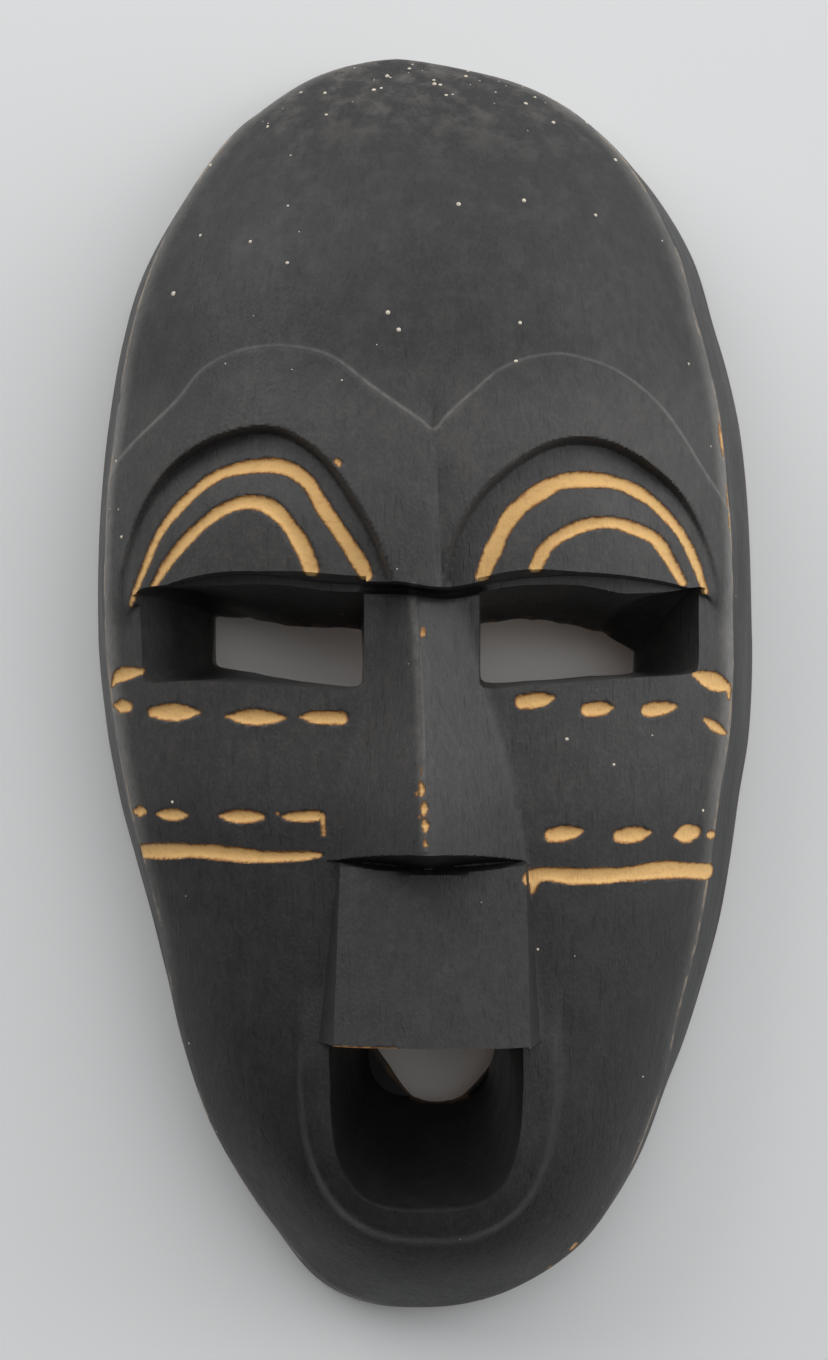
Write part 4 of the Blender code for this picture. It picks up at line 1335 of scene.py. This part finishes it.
def copy_of_node(node, name):
    """A merged copy of a frame node with its flat faces whole again."""
    mesh = bpy.data.objects[node].data.copy()
    mesh.name = name
    work = bmesh.new()
    work.from_mesh(mesh)
    bmesh.ops.remove_doubles(work, verts=work.verts, dist=2e-6)
    bmesh.ops.dissolve_limit(work, angle_limit=math.radians(1.0), verts=work.verts, edges=work.edges)
    bmesh.ops.recalc_face_normals(work, faces=work.faces)
    work.to_mesh(mesh)
    work.free()
    return add_object(name, mesh)


def ease_edges(piece, width):
    """Rounds the sharp edges that stamping and tumbling leave rounded."""
    bevel = piece.modifiers.new("eased edges", "BEVEL")
    bevel.width = width * MM
    bevel.segments = 2
    bevel.limit_method = "ANGLE"
    bevel.angle_limit = math.radians(50)
    bevel.use_clamp_overlap = True
    settle(piece)


def fix_strap():
    """The stamped strap and its screw."""
    finish = zinc_steel()
    strap = copy_of_node("hanger_strap", "strap_plate")
    ease_edges(strap, 0.16)
    screw = copy_of_node("hanger_screw", "strap_screw")
    ease_edges(screw, 0.14)
    for piece, node in ((strap, "hanger_strap"), (screw, "hanger_screw")):
        shade_by_angle(piece, 35)
        give_finish(piece, finish)
        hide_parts(node)
        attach(piece, "mask")


# ---------------------------------------------------------------- finishes


def ramp(tree, value, start, end, low=0.0, high=1.0):
    """Smooth rise of a value between two places."""
    node = tree.nodes.new("ShaderNodeMapRange")
    node.interpolation_type = "SMOOTHSTEP"
    for socket, given in zip(node.inputs, (value, start, end, low, high)):
        join(tree, given, socket)
    return node.outputs[0]


def noise_at(tree, vector, scale, detail=2.0, roughness=0.5):
    node = place_node(
        tree, "ShaderNodeTexNoise", None,
        {"Vector": vector, "Scale": scale, "Detail": detail, "Roughness": roughness},
    )
    return node.outputs[0]


def mix_colours(tree, share, first, second):
    node = tree.nodes.new("ShaderNodeMix")
    node.data_type = "RGBA"
    join(tree, share, node.inputs["Factor"])
    colour_inputs = [socket for socket in node.inputs if socket.type == "RGBA"]
    join(tree, first, colour_inputs[0])
    join(tree, second, colour_inputs[1])
    return [socket for socket in node.outputs if socket.type == "RGBA"][0]


def stretched(tree, scale):
    """Object coordinates in metres, stretched so that a pattern runs with the grain."""
    coordinates = tree.nodes.new("ShaderNodeTexCoord").outputs["Object"]
    node = tree.nodes.new("ShaderNodeMapping")
    join(tree, coordinates, node.inputs["Vector"])
    node.inputs["Scale"].default_value = scale
    return node.outputs[0]


def named_group(name, build):
    """A shader group that is built once and shared."""
    return bpy.data.node_groups.get(name) or build(name).tree


def wood_grain_group(name):
    """Long streaks, open pores and broad mottling that run up the wood."""
    t = Tree(
        name, "ShaderNodeTree",
        [
            ("Streak Scale", "NodeSocketFloat", 700.0), ("Pore Scale", "NodeSocketFloat", 1500.0),
            ("Mottle Scale", "NodeSocketFloat", 45.0),
        ],
        [("Streaks", "NodeSocketFloat"), ("Pores", "NodeSocketFloat"), ("Mottle", "NodeSocketFloat")],
    )
    long_way = stretched(t.tree, (1.0, 0.8, 0.05))
    streaks = noise_at(t.tree, long_way, t.given("Streak Scale"), 4.0, 0.6)
    short_way = stretched(t.tree, (1.0, 1.0, 0.16))
    pores = noise_at(t.tree, short_way, t.given("Pore Scale"), 1.0, 0.4)
    mottle = noise_at(t.tree, stretched(t.tree, (1.0, 1.0, 0.6)), t.given("Mottle Scale"), 5.0, 0.6)
    t.give("Streaks", ramp(t.tree, streaks, 0.32, 0.68))
    t.give("Pores", ramp(t.tree, pores, 0.60, 0.72))
    t.give("Mottle", ramp(t.tree, mottle, 0.3, 0.7))
    return t


def edge_wear_group(name):
    """1 along a worn edge, broken up along its length."""
    t = Tree(
        name, "ShaderNodeTree",
        [
            ("Distance", "NodeSocketFloat", 1.0), ("Width", "NodeSocketFloat", 0.4),
            ("Coverage", "NodeSocketFloat", 0.5),
        ],
        [("Mask", "NodeSocketFloat")],
    )
    ragged = noise_at(t.tree, stretched(t.tree, (1, 1, 0.5)), 900.0, 3.0, 0.65)
    broken = noise_at(t.tree, stretched(t.tree, (1, 1, 1)), 130.0, 3.0, 0.6)
    reach = t.math("MULTIPLY", t.given("Width"), t.math("MULTIPLY", ragged, 2.0))
    near = t.math("SUBTRACT", 1.0, ramp(t.tree, t.math("DIVIDE", t.given("Distance"), reach), 0.55, 1.0))
    shown = ramp(t.tree, t.math("ADD", broken, t.math("SUBTRACT", t.given("Coverage"), 0.5)), 0.46, 0.58)
    t.give("Mask", t.math("MULTIPLY", near, shown))
    return t


def dust_group(name):
    """Dust in soft clouds and fine grit, more of it above a height."""
    t = Tree(
        name, "ShaderNodeTree",
        [
            ("Clean Below", "NodeSocketFloat", 0.0), ("Full Above", "NodeSocketFloat", 0.01),
            ("Amount", "NodeSocketFloat", 0.5),
        ],
        [("Mask", "NodeSocketFloat")],
    )
    coordinates = t.tree.nodes.new("ShaderNodeTexCoord").outputs["Object"]
    z = t.node("ShaderNodeSeparateXYZ", i0=coordinates).outputs["Z"]
    height = ramp(t.tree, z, t.given("Clean Below"), t.given("Full Above"))
    clouds = ramp(t.tree, noise_at(t.tree, coordinates, 260.0, 5.0, 0.65), 0.42, 0.7)
    grit = ramp(t.tree, noise_at(t.tree, coordinates, 3800.0, 2.0, 0.5), 0.62, 0.75)
    amount = t.math("ADD", t.math("MULTIPLY", clouds, 0.7), t.math("MULTIPLY", grit, 0.6))
    t.give("Mask", t.math("MULTIPLY", t.math("MULTIPLY", amount, height), t.given("Amount")))
    return t


def scratch_group(name):
    """Fine handling scratches and dull patches on metal."""
    t = Tree(
        name, "ShaderNodeTree",
        [("Scale", "NodeSocketFloat", 900.0)],
        [("Scratches", "NodeSocketFloat"), ("Dull", "NodeSocketFloat")],
    )
    one_way = noise_at(t.tree, stretched(t.tree, (1.0, 0.3, 0.06)), t.given("Scale"), 3.0, 0.7)
    other_way = noise_at(t.tree, stretched(t.tree, (0.08, 0.3, 1.0)), t.given("Scale"), 3.0, 0.7)
    lines = t.math("MAXIMUM", ramp(t.tree, one_way, 0.6, 0.68), ramp(t.tree, other_way, 0.62, 0.7))
    t.give("Scratches", lines)
    t.give("Dull", ramp(t.tree, noise_at(t.tree, stretched(t.tree, (1, 1, 1)), 420.0, 4.0, 0.6), 0.4, 0.65))
    return t


def use_group(tree, name, build, **values):
    node = tree.nodes.new("ShaderNodeGroup")
    node.node_tree = named_group(name, build)
    for label, value in values.items():
        join(tree, value, node.inputs[label.replace("_", " ")])
    return node.outputs


def new_finish(name):
    """A material with a bare Principled shader, and its node tree."""
    made = bpy.data.materials.get(name)
    if made is not None:
        return made, None, None
    made = bpy.data.materials.new(name)
    made.use_nodes = True
    tree = made.node_tree
    return made, tree, next(node for node in tree.nodes if node.type == "BSDF_PRINCIPLED")


def attribute(tree, name):
    return place_node(tree, "ShaderNodeAttribute", {"attribute_name": name}).outputs["Fac"]


def bump(tree, height, strength, distance):
    return place_node(
        tree, "ShaderNodeBump", None, {"Height": height, "Strength": strength, "Distance": distance}
    ).outputs[0]


def level(z):
    """Frame height, in metres, of a bench height."""
    return (CHIN_Z + z) * MM


class Paint:
    """Sums, ramps and mixes in one material's node tree."""

    def __init__(self, tree):
        self.tree = tree

    def plus(self, a, b):
        return math_node(self.tree, "ADD", a, b)

    def minus(self, a, b):
        return math_node(self.tree, "SUBTRACT", a, b)

    def times(self, a, b):
        return math_node(self.tree, "MULTIPLY", a, b)

    def larger(self, a, b):
        return math_node(self.tree, "MAXIMUM", a, b)

    def ramp(self, value, start, end, low=0.0, high=1.0):
        return ramp(self.tree, value, start, end, low, high)

    def fall(self, value, start, end):
        """1 up to the start, easing to 0 at the end."""
        return self.minus(1.0, self.ramp(value, start, end))

    def mix(self, share, first, second):
        return mix_colours(self.tree, share, first, second)

    def noise(self, stretch, scale, detail, roughness):
        return noise_at(self.tree, stretched(self.tree, stretch), scale, detail, roughness)

    def mark(self, name):
        return attribute(self.tree, name)


DEEP_BLACK = (0.006, 0.006, 0.006, 1)


def stain_colour(paint, grain, tooth, nap):
    """Stain that is thin where the grain stands up and black in the pores."""
    contrast = 2.3
    grit = paint.minus(paint.times(paint.plus(tooth, nap), contrast), contrast)
    thin = paint.plus(paint.times(grain["Streaks"], 0.22), paint.times(grain["Mottle"], 0.4))
    thin = place_node(paint.tree, "ShaderNodeClamp", None, {"Value": paint.plus(thin, grit)}).outputs[0]
    colour = paint.mix(thin, colours().stain, colours().stain_thin)
    return paint.mix(paint.times(grain["Pores"], 0.6), colour, DEEP_BLACK)


def painted_highlight_colour(paint, colour, z, nap, on_face):
    """Painted highlights: a grey sheen along the front's edge, less of it low down, and thin lines on the
    brow and the nose's ridge.
    """
    # Painted highlight along the front's edge, weaker low down
    highlight_by_height = paint.ramp(z, level(35), level(95), 0.15, 1.0)
    band = paint.times(paint.fall(paint.mark("arris"), 0.2, 4.2), on_face)
    band = paint.times(band, paint.times(highlight_by_height, paint.plus(nap, 0.35)))
    brow, ridge = paint.mark("brow"), paint.mark("ridge")
    brow_line = paint.times(paint.ramp(brow, -0.15, 0.1), paint.fall(brow, 0.25, 0.65))
    ridge_line = paint.times(paint.ramp(ridge, -1.6, -0.5), paint.fall(ridge, -0.3, 0.3))
    # Painted highlight lines along the brow and the nose's ridge, joined with the edge's painted sheen
    painted_sheen = paint.larger(paint.times(band, 0.95), paint.times(paint.times(brow_line, nap), 0.8))
    painted_sheen = paint.larger(painted_sheen, paint.times(paint.times(ridge_line, nap), 0.7))
    return paint.mix(painted_sheen, colour, colours().painted_sheen)


def shaded_colour(paint, colour, z, on_face, painted_recess_shade):
    """Painted shade on the lower face, towards the crown, deep in the openings and on the side wall, and
    painted light on the face's middle.
    """
    painted_lit_middle = paint.times(paint.ramp(z, level(74), level(88)), paint.ramp(z, level(152), level(138)))
    # Painted shade: near black below and above the face's middle
    colour = paint.mix(paint.times(paint.minus(1.0, painted_lit_middle), 0.45), colour, (0.007, 0.007, 0.0072, 1))
    # Painted light: a lighter grey on the face's middle
    colour = paint.mix(paint.times(paint.times(painted_lit_middle, on_face), 0.10), colour, colours().painted_sheen)
    # Painted shade: near black deep in the openings
    colour = paint.mix(painted_recess_shade, colour, DEEP_BLACK)
    # Painted shade: near black on the side wall
    return paint.mix(paint.times(paint.minus(1.0, on_face), 0.6), colour, (0.008, 0.008, 0.008, 1))


def dusty_colour(paint, colour):
    """Dust on the crown with a thin film of it everywhere, and raw wood along the worn edge."""
    arris = math_node(paint.tree, "ABSOLUTE", paint.mark("arris"))
    wear = use_group(paint.tree, "Edge Wear", edge_wear_group, Distance=arris, Width=0.5, Coverage=0.52)
    top = level(HEIGHT)
    dust = use_group(
        paint.tree, "Dust", dust_group, Clean_Below=top - 30 * MM, Full_Above=top + 2 * MM, Amount=0.5
    )
    film = use_group(
        paint.tree, "Dust", dust_group, Clean_Below=level(-60), Full_Above=top + 40 * MM, Amount=0.11
    )
    colour = paint.mix(paint.larger(dust[0], film[0]), colour, colours().dust)
    return paint.mix(wear[0], colour, colours().worn_edge)


def bare_wood(paint, grain):
    """Where the stain never reached, in patches, and the colour of the wood there."""
    patches = paint.noise((1, 1, 0.25), 160.0, 5.0, 0.65)
    share = paint.ramp(paint.plus(paint.mark("bare"), paint.minus(patches, 0.5)), 0.55, 0.9)
    colour = paint.mix(paint.times(grain["Streaks"], 0.7), colours().back_wood, colours().stain_thin)
    return share, colour


def cut_wood(paint):
    """Where the gouge went through the stain, and the pale wood with its brown rim there."""
    fine = paint.noise((1, 1, 0.6), 1700.0, 3.0, 0.6)
    inside = paint.plus(paint.mark("cut"), paint.times(paint.minus(fine, 0.5), 0.5))
    streaks = paint.noise((0.35, 1, 1), 1300.0, 4.0, 0.6)
    stained_rim = paint.times(paint.fall(inside, 0.05, 0.5), paint.ramp(streaks, 0.25, 0.6))
    edge = colours().cut_edge
    colour = paint.mix(paint.times(paint.ramp(streaks, 0.45, 0.75), 0.22), colours().fresh_cut, edge)
    colour = paint.mix(paint.times(stained_rim, 0.95), colour, edge)
    # Very dark brown along the cut's rim
    dark_rim = paint.fall(inside, -0.08, 0.24)
    colour = paint.mix(paint.times(dark_rim, 0.95), colour, (0.07, 0.032, 0.012, 1))
    return paint.ramp(inside, -0.16, 0.02), colour


def stained_wood():
    """Black stain over close-grained wood, cut through to the pale wood by the gouge."""
    made, tree, shader = new_finish("stained_wood")
    if tree is None:
        return made
    paint = Paint(tree)
    grain = use_group(tree, "Wood Grain", wood_grain_group)
    tooth = paint.noise((1, 1, 0.7), 2300.0, 2.0, 0.6)
    nap = paint.noise((1, 1, 0.7), 900.0, 3.0, 0.6)
    z = place_node(tree, "ShaderNodeSeparateXYZ", None, {"i0": stretched(tree, (1, 1, 1))}).outputs["Z"]
    on_face = paint.ramp(paint.mark("arris"), -0.4, 0.3)
    # Painted shade deep in the openings, and less reflection there
    painted_recess_shade = paint.times(paint.ramp(paint.mark("deep"), 0.1, 1.3), 0.9)

    colour = stain_colour(paint, grain, tooth, nap)
    colour = painted_highlight_colour(paint, colour, z, nap, on_face)
    colour = shaded_colour(paint, colour, z, on_face, painted_recess_shade)
    colour = dusty_colour(paint, colour)
    bare_share, bare_colour = bare_wood(paint, grain)
    opened, cut_colour = cut_wood(paint)
    colour = paint.mix(opened, paint.mix(bare_share, colour, bare_colour), cut_colour)
    join(tree, colour, shader.inputs["Base Color"])

    rough = paint.plus(paint.times(grain["Mottle"], 0.12), paint.times(grain["Streaks"], 0.06))
    rough = paint.larger(paint.plus(rough, 0.47), paint.times(paint.larger(opened, bare_share), 0.72))
    join(tree, rough, shader.inputs["Roughness"])
    # Less reflection where the painted shade lies deep in the openings
    join(tree, paint.minus(0.5, paint.times(painted_recess_shade, 0.22)), shader.inputs["Specular IOR Level"])

    height = paint.plus(paint.times(grain["Streaks"], 0.3), paint.times(tooth, 0.9))
    height = paint.minus(height, paint.times(grain["Pores"], 0.4))
    join(tree, bump(tree, height, 0.42, 0.0002), shader.inputs["Normal"])
    return made


def speck_paint():
    """Pale, slightly yellowed paint."""
    made, tree, shader = new_finish("speck_paint")
    if tree is None:
        return made
    paint = Paint(tree)
    patchy = paint.noise((1, 1, 1), 900.0, 3.0, 0.6)
    colour = paint.mix(patchy, (0.62, 0.52, 0.38, 1), (0.78, 0.74, 0.66, 1))
    join(tree, colour, shader.inputs["Base Color"])
    join(tree, paint.ramp(patchy, 0.3, 0.7, 0.5, 0.8), shader.inputs["Roughness"])
    grain = paint.noise((1, 1, 1), 6000.0, 2.0, 0.5)
    join(tree, bump(tree, grain, 0.3, 0.00005), shader.inputs["Normal"])
    return made


def zinc_steel():
    """Zinc plating, dull in patches and finely scratched."""
    made, tree, shader = new_finish("zinc_steel")
    if tree is None:
        return made
    paint = Paint(tree)
    marks = use_group(tree, "Scratches", scratch_group)
    dull, scratches = marks["Dull"], marks["Scratches"]
    colour = paint.mix(paint.times(dull, 0.45), colours().steel, (0.22, 0.21, 0.20, 1))
    colour = paint.mix(paint.times(scratches, 0.4), colour, (0.75, 0.75, 0.74, 1))
    join(tree, colour, shader.inputs["Base Color"])
    shader.inputs["Metallic"].default_value = 1.0
    rough = paint.plus(paint.times(dull, 0.22), 0.30)
    join(tree, paint.minus(rough, paint.times(scratches, 0.08)), shader.inputs["Roughness"])
    join(tree, bump(tree, scratches, 0.25, 0.00005), shader.inputs["Normal"])
    return made


# ---------------------------------------------------------------- stage


def plane(name, corners):
    mesh = bpy.data.meshes.new(name)
    mesh.from_pydata(corners, [], [(0, 1, 2, 3)])
    return add_object(name, mesh)


def backdrop_finish(name, one_sided):
    """Matt pale paint, and for the wall one that only shows from its front."""
    made, tree, shader = new_finish(name)
    if tree is None:
        return made
    shade = noise_at(tree, stretched(tree, (1, 1, 1)), 6.0, 2.0, 0.5)
    share = ramp(tree, shade, 0.3, 0.7, 0.0, 0.06)
    paper = mix_colours(tree, share, colours().backdrop, (0.6, 0.6, 0.6, 1))
    join(tree, paper, shader.inputs["Base Color"])
    shader.inputs["Roughness"].default_value = 0.95
    shader.inputs["Specular IOR Level"].default_value = 0.1
    if one_sided:
        output = next(node for node in tree.nodes if node.type == "OUTPUT_MATERIAL")
        clear = tree.nodes.new("ShaderNodeBsdfTransparent").outputs[0]
        behind = tree.nodes.new("ShaderNodeNewGeometry").outputs["Backfacing"]
        wires = {"i0": behind, "i1": shader.outputs[0], "i2": clear}
        blend = place_node(tree, "ShaderNodeMixShader", None, wires).outputs[0]
        join(tree, blend, output.inputs["Surface"])
    return made


def area_light(name, place, target, size, power):
    """A round lamp at a place, turned to a target."""
    light = bpy.data.lights.new(name, "AREA")
    light.shape = "DISK"
    light.size = size
    light.energy = power
    made = bpy.data.objects.new(name, light)
    bpy.context.scene.collection.objects.link(made)
    made.location = place
    made.rotation_euler = (Vector(target) - Vector(place)).to_track_quat("-Z", "Y").to_euler()


def studio_world():
    """Even pale light that falls off towards the floor and the left."""
    world = bpy.data.worlds.new("studio")
    world.use_nodes = True
    tree = world.node_tree
    background = next(node for node in tree.nodes if node.type == "BACKGROUND")
    background.inputs["Color"].default_value = (0.93, 0.95, 0.97, 1)
    direction = tree.nodes.new("ShaderNodeTexCoord").outputs["Generated"]
    lean = place_node(
        tree, "ShaderNodeVectorMath", {"operation": "DOT_PRODUCT"}, {"i0": direction, "i1": (0.6, 0.0, 0.8)}
    ).outputs["Value"]
    join(tree, ramp(tree, lean, -0.7, 0.7, 0.05, 0.58), background.inputs["Strength"])
    return world


def set_stage():
    scene = bpy.context.scene
    floor_z, wall_y = -0.60, 0.001
    floor = plane("floor", [(-2, -2, floor_z), (2, -2, floor_z), (2, 2, floor_z), (-2, 2, floor_z)])
    wall = plane("wall", [(-2, wall_y, floor_z), (2, wall_y, floor_z), (2, wall_y, 1.5), (-2, wall_y, 1.5)])
    floor.data.materials.append(backdrop_finish("floor_paint", False))
    wall.data.materials.append(backdrop_finish("wall_paint", True))
    wall.visible_shadow = False
    floor.visible_diffuse = False
    floor.visible_glossy = False

    middle = (0.0, 0.0, (CHIN_Z + HEIGHT / 2) * MM)
    area_light("key_light", (0.55, -1.2, 0.9), middle, 3.2, 20.0)
    area_light("left_light", (-1.1, -0.7, 0.95), middle, 1.4, 11.0)
    area_light("right_light", (1.2, -0.3, 0.3), middle, 1.0, 4.0)
    area_light("back_fill_light", (-0.5, 1.2, 0.5), middle, 1.0, 8.0)
    scene.world = studio_world()
    scene.view_settings.view_transform = "Standard"

    camera = bpy.data.cameras.new("camera")
    camera.sensor_fit = "AUTO"
    camera.sensor_width = 36.0
    camera.lens = 74.2
    camera.clip_start = 0.01
    eye = bpy.data.objects.new("camera", camera)
    scene.collection.objects.link(eye)
    eye.location = (-0.00145, -0.450, -0.0903)
    eye.rotation_euler = (math.pi / 2, 0, 0)
    scene.camera = eye


# ---------------------------------------------------------------- add-on


class MASK_OT_carve_face(bpy.types.Operator):
    """Carve the wooden face, its openings and its gouge cuts"""

    bl_idname = "mask.carve_face"
    bl_label = "Carve Face"

    def execute(self, context):
        carve_face()
        return {"FINISHED"}


class MASK_OT_scatter_specks(bpy.types.Operator):
    """Scatter pale paint specks over the wood"""

    bl_idname = "mask.scatter_specks"
    bl_label = "Scatter Specks"

    def execute(self, context):
        scatter_specks(bpy.data.objects["mask_wood"])
        return {"FINISHED"}


class MASK_OT_bend_ring(bpy.types.Operator):
    """Bend the wire ring that the mask hangs by"""

    bl_idname = "mask.bend_ring"
    bl_label = "Bend Ring"

    def execute(self, context):
        bend_ring()
        return {"FINISHED"}


class MASK_OT_fix_strap(bpy.types.Operator):
    """Fix the ring's strap with its screw"""

    bl_idname = "mask.fix_strap"
    bl_label = "Fix Strap"

    def execute(self, context):
        fix_strap()
        return {"FINISHED"}


class MASK_OT_set_stage(bpy.types.Operator):
    """Set up the wall, the floor, the lights and the camera"""

    bl_idname = "mask.set_stage"
    bl_label = "Set Stage"

    def execute(self, context):
        set_stage()
        return {"FINISHED"}


STEPS = (
    MASK_OT_carve_face, MASK_OT_scatter_specks, MASK_OT_bend_ring, MASK_OT_fix_strap, MASK_OT_set_stage,
)


class MASK_PT_workbench(bpy.types.Panel):
    """Sizes, colours and steps of the mask"""

    bl_idname = "MASK_PT_workbench"
    bl_label = "Carved Wooden Mask"
    bl_space_type = "VIEW_3D"
    bl_region_type = "UI"
    bl_category = "Mask"

    def draw(self, context):
        for group in (context.scene.mask_sizes, context.scene.mask_colours):
            box = self.layout.box()
            for name in group.__annotations__:
                box.prop(group, name)
        for step in STEPS:
            self.layout.operator(step.bl_idname)


CLASSES = (MaskSizes, MaskColours, *STEPS, MASK_PT_workbench)


def register():
    for made in CLASSES:
        bpy.utils.register_class(made)
    bpy.types.Scene.mask_sizes = bpy.props.PointerProperty(type=MaskSizes)
    bpy.types.Scene.mask_colours = bpy.props.PointerProperty(type=MaskColours)


def unregister():
    del bpy.types.Scene.mask_colours
    del bpy.types.Scene.mask_sizes
    for made in reversed(CLASSES):
        bpy.utils.unregister_class(made)


def main():
    register()
    bpy.ops.mask.carve_face()
    bpy.ops.mask.scatter_specks()
    bpy.ops.mask.bend_ring()
    bpy.ops.mask.fix_strap()
    bpy.ops.mask.set_stage()


if __name__ == "__main__":
    main()
